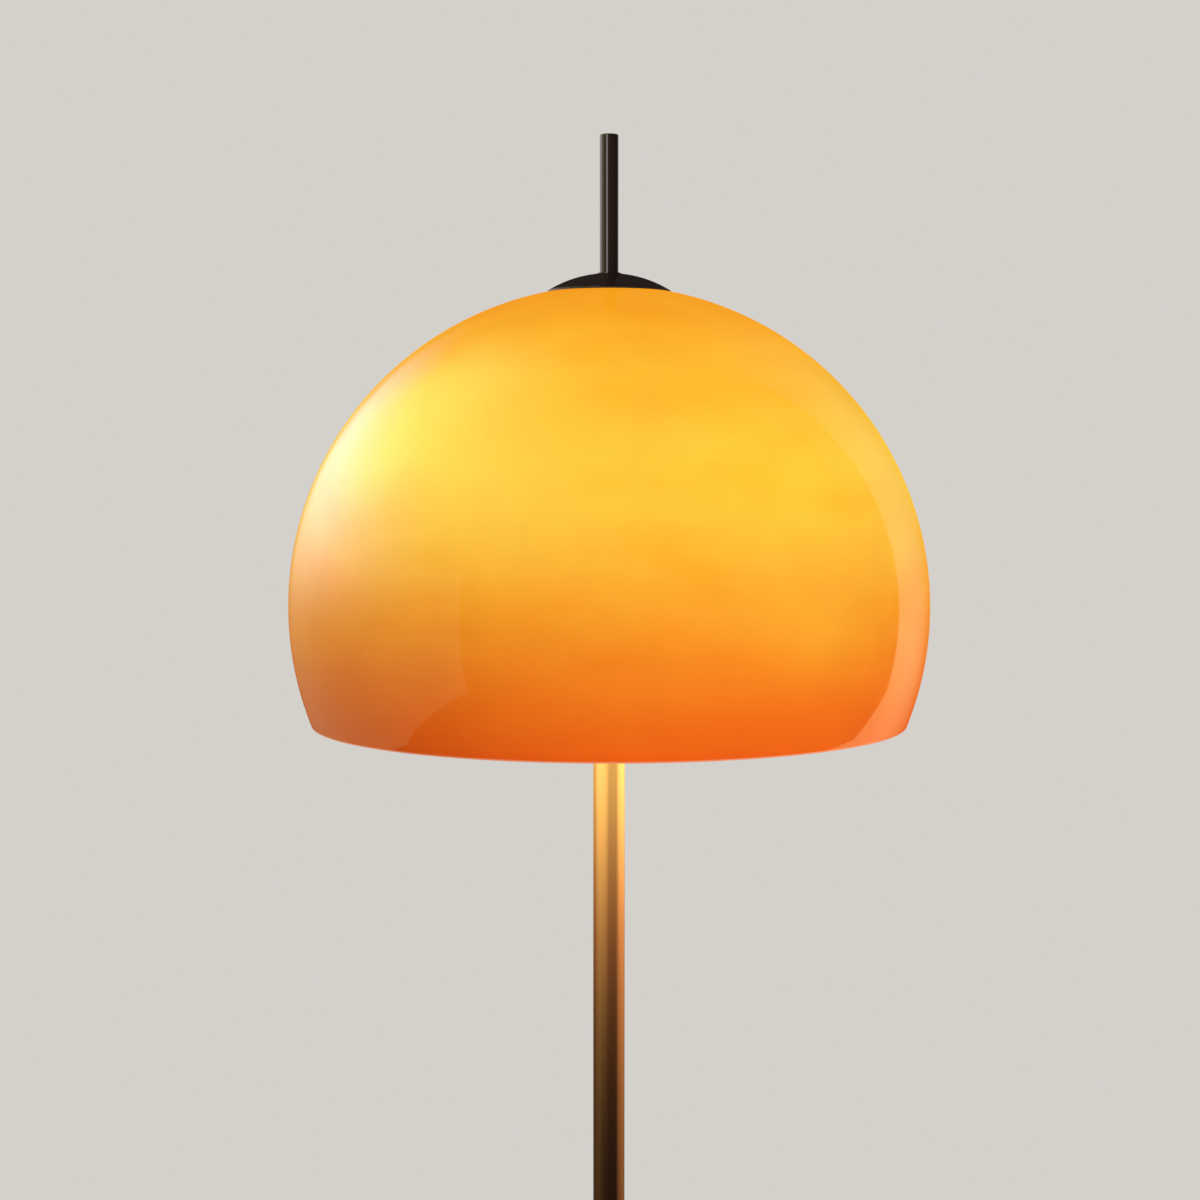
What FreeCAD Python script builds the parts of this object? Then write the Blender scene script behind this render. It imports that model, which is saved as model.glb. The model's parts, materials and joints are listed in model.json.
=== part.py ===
import FreeCAD, Part
import math
import os

# Mushroom floor lamp: a translucent acrylic shade on a black pole, with a black cap and a
# screwed-on finial rod. Millimetres, +Z up. The origin is on the floor at the lamp's axis.
# The rear, where the cord goes in, faces +Y.

V = FreeCAD.Vector
ORIGIN = V(0, 0, 0)
Z = V(0, 0, 1)

# ---- driving dimensions: fits shared by the whole lamp ----
FIT = 0.05
MOVING_GAP = 0.3
HOLE_CLEARANCE = 0.2
OVERCUT = 1.0

# ---- driving dimensions: base ----
PAD_INSET = 12.0
PAD_T = 3.0
WEIGHT_T = 12.0
WEIGHT_CHAMFER = 5.0
BASE_R = 150.0
COVER_T = 1.2
COVER_EDGE_Z = 17.0
COVER_FILLET = 5.0
COVER_FLOOR_GAP = 1.5

# ---- driving dimensions: pole foot and collar ----
FOOT_FLANGE_R = 34.0
FOOT_FLANGE_T = 4.0
FOOT_BOSS_R = 14.0
FOOT_BOSS_H = 15.0
FOOT_SPIGOT_L = 34.0
FOOT_SCREWS = 3
FOOT_SCREW_CIRCLE_R = 25.0
FOOT_SCREW_AZIMUTH = 30.0
FOOT_SCREW_R = 2.5
FOOT_SCREW_L = 12.0
COLLAR_R = 17.0
COLLAR_H = 10.0
COLLAR_EDGE = 2.0
COLLAR_SCREW_R = 2.0
COLLAR_SCREW_RECESS = 1.0

# ---- driving dimensions: pole ----
POLE_R = 10.0
POLE_T = 1.5
POLE_SECTION_L = 597.0
COUPLER_L = 70.0
SPIGOT_BORE_R = 5.4

# ---- driving dimensions: inner lead and terminals ----
LEAD_R = 3.0
LEAD_BEND_R = 13.0
LEAD_CLEARANCE = 0.5
TERMINAL_FRONT_Y = 52.0
TERMINAL_W = 30.0
TERMINAL_D = 20.0
TERMINAL_H = 12.0
TERMINAL_EAR_W = 7.0
TERMINAL_EAR_T = 4.0
TERMINAL_POLES = 3
TERMINAL_PITCH = 9.0
TERMINAL_ROW_PITCH = 10.0
TERMINAL_SCREW_R = 1.5
TERMINAL_SCREW_L = 5.0
TERMINAL_SCREW_RECESS = 1.0
SMALL_SCREW_R = 1.5
SMALL_SCREW_L = 10.0
EARTH_SCREW_X = 34.0

# ---- driving dimensions: cord inlet ----
INLET_Z = 7.6
INLET_BORE_R = 3.4
GROMMET_BODY_R = 4.2
GROMMET_LIP_R = 5.4
GROMMET_LIP_T = 1.5
INLET_GROOVE_W = 14.0
INLET_GROOVE_L = 34.0

# ---- driving dimensions: foot switch ----
SWITCH_X = 0.0
SWITCH_INSET = 60.0
SWITCH_TRAVEL = 4.0
SWITCH_PROUD = 0.5
SWITCH_BUTTON_R = 11.0
SWITCH_BUTTON_EDGE = 1.2
SWITCH_FLANGE_R = 12.1
SWITCH_FLANGE_T = 1.8
SWITCH_STEM_R = 3.0
SWITCH_BODY_R = 14.0
SWITCH_BODY_T = 1.6
SWITCH_BODY_H = 21.0
SWITCH_GUIDE_T = 3.0
SWITCH_BEZEL_R = 17.0
SWITCH_BEZEL_T = 1.4
SWITCH_WELL_CLEARANCE = 2.0
SPRING_R = 5.2
SPRING_WIRE_R = 0.5
SPRING_L = 10.0
SPRING_TURNS = 5

# ---- driving dimensions: light cluster ----
HUB_R = 30.0
HUB_PLATE_T = 4.0
HUB_RIM_H = 10.0
HUB_WALL = 3.0
HUB_TOP_R = 12.0
HUB_SPIGOT_L = 34.0
HUB_RING_T = 4.0
HUB_RING_H = 3.0
HUB_SCREWS = 3
HUB_SCREW_R = 1.0
HUB_SCREW_AZIMUTH = -30.0
SPLICE_R = 10.5
SPLICE_H = 9.0
LIGHTS = 3
LIGHT_AZIMUTH = -90.0
LIGHT_TILT = 40.0
ARM_R = 5.0
ARM_BORE_R = 3.3
ARM_NUT_R = 8.1
ARM_NUT_T = 3.0
ARM_SPOT_FACE = 1.0
ARM_END_L = 3.0
SOCKET_NECK_R = 10.0
SOCKET_CAP_H = 18.0
SOCKET_CAP_FLOOR_T = 3.0
SOCKET_R = 20.5
SOCKET_WALL = 1.8
SOCKET_SHELL_H = 36.0
SOCKET_LIP_T = 1.5
SOCKET_CORE_T = 9.0
SOCKET_CORE_TUBE_R = 16.5
SOCKET_LINER_T = 0.8
SOCKET_LINER_L = 22.0
SOCKET_LEAD_R = 2.6
BULB_SCREW_R = 13.0
BULB_SCREW_L = 25.5
BULB_TIP_R = 5.0
BULB_TIP_L = 2.0
BULB_LENGTH = 105.0
BULB_R = 30.0
BULB_NECK_R = 14.5
BULB_WALL = 1.2

# ---- driving dimensions: stem, seat, shade and cap ----
STEM_R = 4.0
STEM_FIT = 0.1
STEM_TAIL = 1.0
STEM_NUT_R = 7.5
STEM_NUT_T = 5.0
SLEEVE_R = 8.0
SHADE_R = 200.0
SHADE_T = 3.0
SHADE_RIM_DROP = 73.2
SHADE_RIM_ROUND = 1.0
SHADE_HOLE_R = 12.0
SHADE_EQUATOR_RISE = 28.4
SEAT_R = 35.0
SEAT_T = 2.5
SEAT_BOSS_DROP = 4.0
GASKET_T = 1.5
GASKET_W = 10.0
CAP_R = 38.5
CAP_RISE = 11.0
CAP_T = 1.6
CAP_LAND_R = 9.0
CAP_GASKET_T = 0.8
CAP_GASKET_W = 5.0

# ---- driving dimensions: finial ----
FINIAL_R = 5.75
FINIAL_L = 85.3
FINIAL_THREAD_L = 14.0
FINIAL_BORE_EXTRA = 3.0
FINIAL_EDGE = 0.8
FINIAL_WASHER_R = 7.5
FINIAL_WASHER_T = 0.8

# ---- levels and sizes that follow ----
TILT = math.radians(LIGHT_TILT)
WEIGHT_TOP = PAD_T + WEIGHT_T
PAD_R = BASE_R - PAD_INSET
SWITCH_Y = SWITCH_INSET - BASE_R
WEIGHT_R = BASE_R - COVER_T - MOVING_GAP
FOOT_BOSS_Z = WEIGHT_TOP + FOOT_FLANGE_T
FOOT_TOP = FOOT_BOSS_Z + FOOT_BOSS_H
COVER_TOP = FOOT_TOP + COVER_T
POLE_JOINT_Z = FOOT_TOP + POLE_SECTION_L
POLE_TOP = POLE_JOINT_Z + POLE_SECTION_L
POLE_BORE_R = POLE_R - POLE_T
SPIGOT_R = POLE_BORE_R - FIT
LEAD_Z = FOOT_BOSS_Z + LEAD_R + LEAD_CLEARANCE
DOME_Z = (COVER_TOP ** 2 + COLLAR_R ** 2 - COVER_EDGE_Z ** 2 - BASE_R ** 2) / (
    2 * (COVER_TOP - COVER_EDGE_Z)
)
DOME_R = math.hypot(BASE_R, COVER_EDGE_Z - DOME_Z)
SWITCH_BODY_TOP = PAD_T + SWITCH_BODY_H
HUB_PLATE_TOP = POLE_TOP + HUB_PLATE_T
HUB_CONE_Z = POLE_TOP + HUB_RIM_H
HUB_TOP = HUB_CONE_Z + (HUB_R - HUB_TOP_R) * math.tan(TILT)
SLOPE_MIDDLE_R = (HUB_R + HUB_TOP_R) / 2
SLOPE_MIDDLE_Z = HUB_CONE_Z + (HUB_R - SLOPE_MIDDLE_R) * math.tan(TILT)
LIGHT_START_R = SLOPE_MIDDLE_R - ARM_SPOT_FACE * math.sin(TILT)
LIGHT_START_Z = SLOPE_MIDDLE_Z - ARM_SPOT_FACE * math.cos(TILT)
ARM_WALL = HUB_WALL - ARM_SPOT_FACE
SOCKET_LEAD_START = (
    LIGHT_START_R - SPLICE_R - FIT - SOCKET_LEAD_R * math.cos(TILT)
) / math.sin(TILT)
SOCKET_CAP_TOP = ARM_NUT_T + SOCKET_CAP_H
SOCKET_TOP = SOCKET_CAP_TOP + SOCKET_SHELL_H
SOCKET_BORE_R = SOCKET_R - SOCKET_WALL
CORE_TOP = SOCKET_CAP_TOP + SOCKET_CORE_T
LINER_R = BULB_SCREW_R + MOVING_GAP
BULB_TIP = CORE_TOP + MOVING_GAP
BULB_NECK = BULB_TIP + BULB_TIP_L + BULB_SCREW_L
EQUATOR_Z = POLE_TOP + SHADE_EQUATOR_RISE
SHADE_RIM_Z = EQUATOR_Z - SHADE_RIM_DROP
SHADE_BORE_R = SHADE_R - SHADE_T
GASKET_TOP_R = SHADE_BORE_R - MOVING_GAP
SEAT_TOP_R = GASKET_TOP_R - GASKET_T
SEAT_BOSS_R = SHADE_HOLE_R - MOVING_GAP
SEAT_BOSS_TOP = EQUATOR_Z + math.sqrt(SHADE_R ** 2 - SHADE_HOLE_R ** 2)
SEAT_BOSS_BOTTOM = EQUATOR_Z + SEAT_TOP_R - SEAT_T - SEAT_BOSS_DROP
CAP_SEAT_R = SHADE_R + CAP_GASKET_T
CAP_EDGE_Z = EQUATOR_Z + math.sqrt(CAP_SEAT_R ** 2 - CAP_R ** 2)
CAP_DOME_R = (CAP_R ** 2 + CAP_RISE ** 2) / (2 * CAP_RISE)
CAP_DOME_Z = CAP_EDGE_Z + CAP_RISE - CAP_DOME_R
CAP_TOP = CAP_DOME_Z + math.sqrt(CAP_DOME_R ** 2 - CAP_LAND_R ** 2)
FINIAL_Z = CAP_TOP + FINIAL_WASHER_T
STEM_TOP = FINIAL_Z + FINIAL_THREAD_L


# ---- helpers ----
def cyl(radius, low, high, x=0.0, y=0.0):
    return Part.makeCylinder(radius, high - low, V(x, y, low))


def tube(outer, inner, low, high, x=0.0, y=0.0):
    hole = cyl(inner, low - OVERCUT, high + OVERCUT, x, y)
    return cyl(outer, low, high, x, y).cut(hole)


def ball(radius, z):
    return Part.makeSphere(radius, V(0, 0, z))


def box(x0, x1, y0, y1, z0, z1):
    return Part.makeBox(x1 - x0, y1 - y0, z1 - z0, V(x0, y0, z0))


def radial_cyl(radius, start, end, z):
    """A cylinder that points along +Y from the lamp's axis."""
    return Part.makeCylinder(radius, end - start, V(0, start, z), V(0, 1, 0))


def hex_prism(circumradius, low, high):
    corners = []
    for i in range(7):
        angle = math.pi * i / 3
        corners.append(V(circumradius * math.cos(angle), circumradius * math.sin(angle), low))
    return Part.Face(Part.makePolygon(corners)).extrude(V(0, 0, high - low))


def nut(circumradius, bore, low, high):
    return hex_prism(circumradius, low, high).cut(cyl(bore, low - OVERCUT, high + OVERCUT))


def line(a, b):
    return Part.LineSegment(V(a[0], 0, a[1]), V(b[0], 0, b[1])).toShape()


def arc(a, middle, b):
    return Part.Arc(V(a[0], 0, a[1]), V(middle[0], 0, middle[1]), V(b[0], 0, b[1])).toShape()


def turned(edges):
    """The solid that a closed outline in the XZ plane makes, turned round the Z axis."""
    return Part.Face(Part.Wire(edges)).revolve(ORIGIN, Z, 360)


def turned_polygon(points):
    corners = points + points[:1]
    return turned([line(a, b) for a, b in zip(corners, corners[1:])])


def outer_edge(shape, radius, z):
    """The circular edge of a radius at a height."""
    for edge in shape.Edges:
        size = edge.BoundBox
        if abs(size.XMax - radius) < FIT and abs(size.ZMin - z) + abs(size.ZMax - z) < FIT:
            return edge
    raise ValueError("no edge at this radius and height")


def around(shape, count, azimuth):
    """Copies of a shape, evenly spaced round the lamp's axis."""
    copies = []
    for i in range(count):
        copy = shape.copy()
        copy.rotate(ORIGIN, Z, azimuth + 360.0 * i / count)
        copies.append(copy)
    return copies


def cut_all(shape, tools):
    for tool in tools:
        shape = shape.cut(tool)
    return shape


def pan_screw(radius, length, z, x=0.0, y=0.0):
    """A screw whose head rests at height z. Its head is twice as wide as its shank."""
    return cyl(radius, z - length, z, x, y).fuse(cyl(2 * radius, z, z + 1.4 * radius, x, y))


# ---- base ----
def cover_blank(inset):
    """The solid inside the cover's outer surface, made smaller all over by inset."""
    rim_r = BASE_R - COVER_FILLET
    rim_z = DOME_Z + math.sqrt((DOME_R - COVER_FILLET) ** 2 - rim_r ** 2)
    edge_r = BASE_R - inset
    dome_r = DOME_R - inset
    fillet = COVER_FILLET - inset
    lean = math.atan2(rim_r, rim_z - DOME_Z)
    half = (math.pi / 2 + lean) / 2
    land_z = COVER_TOP - inset
    land_r = math.sqrt(dome_r ** 2 - (land_z - DOME_Z) ** 2)
    start = math.asin(land_r / dome_r)
    middle = (start + lean) / 2
    low = COVER_FLOOR_GAP - (OVERCUT if inset else 0)
    on_dome = (dome_r * math.sin(lean), DOME_Z + dome_r * math.cos(lean))
    dome_middle = (dome_r * math.sin(middle), DOME_Z + dome_r * math.cos(middle))
    fillet_middle = (rim_r + fillet * math.sin(half), rim_z + fillet * math.cos(half))
    return turned([
        line((0, low), (edge_r, low)),
        line((edge_r, low), (edge_r, rim_z)),
        arc((edge_r, rim_z), fillet_middle, on_dome),
        arc(on_dome, dome_middle, (land_r, land_z)),
        line((land_r, land_z), (0, land_z)),
        line((0, land_z), (0, low)),
    ])


def base_cover():
    shell = cover_blank(0).cut(cover_blank(COVER_T))
    pole_hole = cyl(POLE_R + HOLE_CLEARANCE, FOOT_TOP - OVERCUT, COVER_TOP + OVERCUT)
    switch_hole = cyl(
        SWITCH_BODY_R + HOLE_CLEARANCE, WEIGHT_TOP, COVER_TOP + OVERCUT, SWITCH_X, SWITCH_Y
    )
    inlet_hole = radial_cyl(GROMMET_BODY_R, WEIGHT_R - OVERCUT, BASE_R + OVERCUT, INLET_Z)
    return cut_all(shell, [pole_hole, switch_hole, inlet_hole])


def floor_pad():
    return cyl(PAD_R, 0, PAD_T)


def foot_screw_at(radius, low, high):
    return cyl(radius, low, high, FOOT_SCREW_CIRCLE_R)


def fixing_places():
    """Where the terminal block's two screws and the earth screw go into the weight."""
    middle_y = TERMINAL_FRONT_Y + TERMINAL_D / 2
    ear_x = (TERMINAL_W + TERMINAL_EAR_W) / 2
    return [(-ear_x, middle_y), (ear_x, middle_y), (EARTH_SCREW_X, middle_y)]


def base_weight():
    disc = cyl(WEIGHT_R, PAD_T, WEIGHT_TOP)
    disc = disc.makeChamfer(WEIGHT_CHAMFER, [outer_edge(disc, WEIGHT_R, WEIGHT_TOP)])
    low = PAD_T - OVERCUT
    high = WEIGHT_TOP + OVERCUT
    well = cyl(SWITCH_BODY_R + SWITCH_WELL_CLEARANCE, low, high, SWITCH_X, SWITCH_Y)
    half = INLET_GROOVE_W / 2
    groove = box(-half, half, WEIGHT_R - INLET_GROOVE_L, WEIGHT_R + OVERCUT, low, high)
    foot_holes = around(foot_screw_at(FOOT_SCREW_R + FIT, low, high), FOOT_SCREWS, FOOT_SCREW_AZIMUTH)
    depth = SMALL_SCREW_L + OVERCUT
    fixings = [cyl(SMALL_SCREW_R + FIT, WEIGHT_TOP - depth, high, x, y) for x, y in fixing_places()]
    return cut_all(disc, [well, groove] + foot_holes + fixings)


def collar_screw_z():
    return COVER_TOP + COLLAR_H / 2


def pole_foot():
    body = cyl(FOOT_FLANGE_R, WEIGHT_TOP, FOOT_BOSS_Z)
    body = body.fuse(cyl(FOOT_BOSS_R, WEIGHT_TOP, FOOT_TOP))
    body = body.fuse(cyl(SPIGOT_R, WEIGHT_TOP, FOOT_TOP + FOOT_SPIGOT_L))
    body = body.cut(cyl(SPIGOT_BORE_R, FOOT_BOSS_Z, FOOT_TOP + FOOT_SPIGOT_L + OVERCUT))
    half = LEAD_R + LEAD_CLEARANCE
    window_top = LEAD_Z + LEAD_BEND_R - LEAD_R - LEAD_CLEARANCE
    window = box(-half, half, 0, FOOT_BOSS_R + OVERCUT, FOOT_BOSS_Z, window_top)
    screw_hole = radial_cyl(COLLAR_SCREW_R + FIT, 0, POLE_R, collar_screw_z())
    low = WEIGHT_TOP - OVERCUT
    holes = foot_screw_at(FOOT_SCREW_R + HOLE_CLEARANCE, low, FOOT_BOSS_Z + OVERCUT)
    tools = [window, screw_hole] + around(holes, FOOT_SCREWS, FOOT_SCREW_AZIMUTH)
    return cut_all(body, tools)


def pole_foot_screws():
    screw = pan_screw(FOOT_SCREW_R, FOOT_SCREW_L, FOOT_BOSS_Z, FOOT_SCREW_CIRCLE_R)
    return Part.Compound(around(screw, FOOT_SCREWS, FOOT_SCREW_AZIMUTH))


def pole_collar():
    top = COVER_TOP + COLLAR_H
    ring = tube(COLLAR_R, POLE_R + FIT, COVER_TOP, top)
    ring = ring.makeFillet(COLLAR_EDGE, [outer_edge(ring, COLLAR_R, top)])
    return ring.cut(radial_cyl(COLLAR_SCREW_R + FIT, 0, COLLAR_R + OVERCUT, collar_screw_z()))


def collar_screw():
    end = COLLAR_R - COLLAR_SCREW_RECESS
    screw = radial_cyl(COLLAR_SCREW_R, SPIGOT_BORE_R + LEAD_CLEARANCE, end, collar_screw_z())
    socket = hex_prism(COLLAR_SCREW_R / 2, 0, COLLAR_SCREW_R)
    socket.rotate(ORIGIN, V(1, 0, 0), -90)
    socket.translate(V(0, end - COLLAR_SCREW_R, collar_screw_z()))
    return screw.cut(socket)


def cord_inlet_grommet():
    inside = WEIGHT_R - GROMMET_LIP_T
    grommet = radial_cyl(GROMMET_BODY_R - FIT, inside, BASE_R + GROMMET_LIP_T, INLET_Z)
    outer_lip = radial_cyl(GROMMET_LIP_R, BASE_R, BASE_R + GROMMET_LIP_T, INLET_Z)
    outer_lip = outer_lip.cut(cyl(BASE_R, 0, COVER_TOP))
    inner_lip = radial_cyl(GROMMET_LIP_R, inside, BASE_R - COVER_T, INLET_Z)
    inner_lip = inner_lip.common(cyl(BASE_R - COVER_T, 0, COVER_TOP))
    bore = radial_cyl(INLET_BORE_R, inside - OVERCUT, BASE_R + GROMMET_LIP_T + OVERCUT, INLET_Z)
    return grommet.fuse(outer_lip).fuse(inner_lip).cut(bore)


# ---- terminals and inner lead ----
def terminal_places():
    middle_y = TERMINAL_FRONT_Y + TERMINAL_D / 2
    places = []
    for pole in range(TERMINAL_POLES):
        x = (pole - (TERMINAL_POLES - 1) / 2) * TERMINAL_PITCH
        for side in (-0.5, 0.5):
            places.append((x, middle_y + side * TERMINAL_ROW_PITCH))
    return places


def terminal_block():
    half = TERMINAL_W / 2
    top = WEIGHT_TOP + TERMINAL_H
    back_y = TERMINAL_FRONT_Y + TERMINAL_D
    block = box(-half, half, TERMINAL_FRONT_Y, back_y, WEIGHT_TOP, top)
    reach = half + TERMINAL_EAR_W
    ear_top = WEIGHT_TOP + TERMINAL_EAR_T
    inset = TERMINAL_D / 4
    ears = box(-reach, reach, TERMINAL_FRONT_Y + inset, back_y - inset, WEIGHT_TOP, ear_top)
    block = block.fuse(ears)
    depth = TERMINAL_SCREW_L + TERMINAL_SCREW_RECESS
    for x, y in terminal_places():
        block = block.cut(cyl(TERMINAL_SCREW_R + FIT, top - depth, top + OVERCUT, x, y))
    for x, y in fixing_places()[:2]:
        block = block.cut(cyl(SMALL_SCREW_R + FIT, WEIGHT_TOP - OVERCUT, top, x, y))
    return block


def terminal_screws():
    top = WEIGHT_TOP + TERMINAL_H - TERMINAL_SCREW_RECESS
    slot_half = TERMINAL_SCREW_R / 6
    screws = []
    for x, y in terminal_places():
        screw = cyl(TERMINAL_SCREW_R, top - TERMINAL_SCREW_L, top, x, y)
        reach = TERMINAL_SCREW_R + OVERCUT
        slot = box(x - reach, x + reach, y - slot_half, y + slot_half, top - slot_half * 2, top + OVERCUT)
        screws.append(screw.cut(slot))
    return Part.Compound(screws)


def terminal_fixings():
    ear_top = WEIGHT_TOP + TERMINAL_EAR_T
    screws = [pan_screw(SMALL_SCREW_R, SMALL_SCREW_L, ear_top, x, y) for x, y in fixing_places()[:2]]
    return Part.Compound(screws)


def earth_screw():
    x, y = fixing_places()[2]
    return pan_screw(SMALL_SCREW_R, SMALL_SCREW_L, WEIGHT_TOP, x, y)


def inner_lead():
    """The three-core lead inside the pole, from the terminal block to the wire splice."""
    bend_top = LEAD_Z + LEAD_BEND_R
    lean = LEAD_BEND_R * (1 - math.cos(math.pi / 4))
    run = Part.LineSegment(V(0, TERMINAL_FRONT_Y, LEAD_Z), V(0, LEAD_BEND_R, LEAD_Z))
    bend = Part.Arc(V(0, LEAD_BEND_R, LEAD_Z), V(0, lean, LEAD_Z + lean), V(0, 0, bend_top))
    rise = Part.LineSegment(V(0, 0, bend_top), V(0, 0, HUB_PLATE_TOP))
    path = Part.Wire([run.toShape(), bend.toShape(), rise.toShape()])
    end = Part.makeCircle(LEAD_R, V(0, TERMINAL_FRONT_Y, LEAD_Z), V(0, -1, 0))
    return path.makePipeShell([Part.Wire([end])], True, False)


# ---- foot switch ----
def dome_height(radius):
    return DOME_Z + math.sqrt(DOME_R ** 2 - radius ** 2)


def switch_levels():
    """Heights of the bezel's top, and of the button's underside and top at rest."""
    nearest = math.hypot(SWITCH_X, SWITCH_Y) - SWITCH_BEZEL_R
    bezel_top = dome_height(nearest) + SWITCH_BEZEL_T
    button_low = SWITCH_BODY_TOP - HOLE_CLEARANCE - SWITCH_FLANGE_T
    button_top = bezel_top + SWITCH_TRAVEL + SWITCH_PROUD
    return bezel_top, button_low, button_top


def foot_switch_body():
    bore = SWITCH_BODY_R - SWITCH_BODY_T
    floor = PAD_T + SWITCH_BODY_T
    cup = cyl(SWITCH_BODY_R, PAD_T, SWITCH_BODY_TOP, SWITCH_X, SWITCH_Y)
    cup = cup.cut(cyl(bore, floor, SWITCH_BODY_TOP + OVERCUT, SWITCH_X, SWITCH_Y))
    guide_top = switch_levels()[1] - SPRING_L
    hole = SWITCH_STEM_R + MOVING_GAP
    guide = tube(bore, hole, guide_top - SWITCH_GUIDE_T, guide_top, SWITCH_X, SWITCH_Y)
    return cup.fuse(guide)


def foot_switch_bezel():
    top = switch_levels()[0]
    ring = cyl(SWITCH_BEZEL_R, SWITCH_BODY_TOP, top, SWITCH_X, SWITCH_Y).cut(ball(DOME_R, DOME_Z))
    neck = cyl(SWITCH_BODY_R, SWITCH_BODY_TOP, top, SWITCH_X, SWITCH_Y)
    bore = SWITCH_BUTTON_R + MOVING_GAP
    hole = cyl(bore, SWITCH_BODY_TOP - OVERCUT, top + OVERCUT, SWITCH_X, SWITCH_Y)
    return ring.fuse(neck).cut(hole)


def foot_switch_button():
    low, top = switch_levels()[1:]
    head = cyl(SWITCH_BUTTON_R, low, top)
    head = head.makeFillet(SWITCH_BUTTON_EDGE, [outer_edge(head, SWITCH_BUTTON_R, top)])
    flange = cyl(SWITCH_FLANGE_R, low, low + SWITCH_FLANGE_T)
    stem_end = PAD_T + SWITCH_BODY_T + SWITCH_TRAVEL + MOVING_GAP
    stem = cyl(SWITCH_STEM_R, stem_end, low)
    button = head.fuse(flange).fuse(stem)
    button.translate(V(SWITCH_X, SWITCH_Y, 0))
    return button


def foot_switch_spring():
    """A coil from the guide plate to the button's underside, its ends touching both."""
    low = switch_levels()[1] - SPRING_L
    rise = SPRING_L - 2 * SPRING_WIRE_R
    path = Part.makeHelix(rise / SPRING_TURNS, rise, SPRING_R)
    start = Part.makeCircle(SPRING_WIRE_R, V(SPRING_R, 0, 0), V(0, 1, 0))
    coil = Part.Wire(path.Edges).makePipeShell([Part.Wire([start])], True, True)
    coil.translate(V(SWITCH_X, SWITCH_Y, low + SPRING_WIRE_R))
    return coil


# ---- pole ----
def pole_lower():
    body = tube(POLE_R, POLE_BORE_R, FOOT_TOP, POLE_JOINT_Z)
    return body.cut(radial_cyl(COLLAR_SCREW_R + FIT, 0, POLE_R + OVERCUT, collar_screw_z()))


def pole_upper():
    return tube(POLE_R, POLE_BORE_R, POLE_JOINT_Z, POLE_TOP)


def pole_coupler():
    half = COUPLER_L / 2
    return tube(SPIGOT_R, SPIGOT_BORE_R, POLE_JOINT_Z - half, POLE_JOINT_Z + half)


# ---- light cluster ----
def hub_screw_z():
    return HUB_PLATE_TOP + HUB_RING_H / 2


def hub_ring_r():
    return HUB_R - HUB_WALL - FIT


def hub_screw_tools(radius, end):
    start = hub_ring_r() - HUB_RING_T - OVERCUT
    return around(radial_cyl(radius, start, end, hub_screw_z()), HUB_SCREWS, HUB_SCREW_AZIMUTH)


def hub_base():
    plate = cyl(HUB_R, POLE_TOP, HUB_PLATE_TOP)
    spigot = cyl(SPIGOT_R, POLE_TOP - HUB_SPIGOT_L, POLE_TOP)
    ring_r = hub_ring_r()
    ring = tube(ring_r, ring_r - HUB_RING_T, HUB_PLATE_TOP - OVERCUT, HUB_PLATE_TOP + HUB_RING_H)
    body = plate.fuse(spigot).fuse(ring)
    body = body.cut(cyl(SPIGOT_BORE_R, POLE_TOP - HUB_SPIGOT_L - OVERCUT, HUB_PLATE_TOP + OVERCUT))
    return cut_all(body, hub_screw_tools(HUB_SCREW_R + FIT, HUB_R))


def hub_shell():
    """A cone whose slope is square to each light's axis, with a flat top for the stem."""
    slope = math.tan(TILT)
    drop = HUB_WALL / math.cos(TILT)
    wall_r = HUB_R - HUB_WALL
    ceiling = HUB_TOP - HUB_WALL
    outside = turned_polygon([
        (0, HUB_PLATE_TOP),
        (HUB_R, HUB_PLATE_TOP),
        (HUB_R, HUB_CONE_Z),
        (HUB_TOP_R, HUB_TOP),
        (0, HUB_TOP),
    ])
    inside = turned_polygon([
        (0, HUB_PLATE_TOP - OVERCUT),
        (wall_r, HUB_PLATE_TOP - OVERCUT),
        (wall_r, HUB_CONE_Z + HUB_WALL * slope - drop),
        (HUB_R - (ceiling - HUB_CONE_Z + drop) / slope, ceiling),
        (0, ceiling),
    ])
    shell = outside.cut(inside).cut(cyl(STEM_R + STEM_FIT, HUB_PLATE_TOP, HUB_TOP + OVERCUT))
    spot_r = ARM_NUT_R + HOLE_CLEARANCE
    arm_hole = cyl(ARM_R + FIT, -HUB_WALL, OVERCUT)
    arm_hole = arm_hole.fuse(cyl(spot_r, 0, ARM_NUT_T))
    arm_hole = arm_hole.fuse(cyl(spot_r, -ARM_WALL - ARM_NUT_T - OVERCUT, -ARM_WALL))
    shell = cut_all(shell, [on_light_axis(arm_hole, i) for i in range(LIGHTS)])
    return cut_all(shell, hub_screw_tools(HUB_SCREW_R + FIT, HUB_R + OVERCUT))


def hub_screws():
    start = hub_ring_r() - HUB_RING_T
    screw = radial_cyl(HUB_SCREW_R, start, HUB_R, hub_screw_z())
    screw = screw.fuse(radial_cyl(2 * HUB_SCREW_R, HUB_R, HUB_R + HUB_SCREW_R, hub_screw_z()))
    flat = screw.cut(cyl(HUB_R, POLE_TOP, HUB_TOP).cut(cyl(HUB_R - HUB_WALL, POLE_TOP, HUB_TOP)))
    shank = radial_cyl(HUB_SCREW_R, start, HUB_R + FIT, hub_screw_z())
    return Part.Compound(around(flat.fuse(shank), HUB_SCREWS, HUB_SCREW_AZIMUTH))


def wire_splice():
    return cyl(SPLICE_R, HUB_PLATE_TOP, HUB_PLATE_TOP + SPLICE_H)


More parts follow.
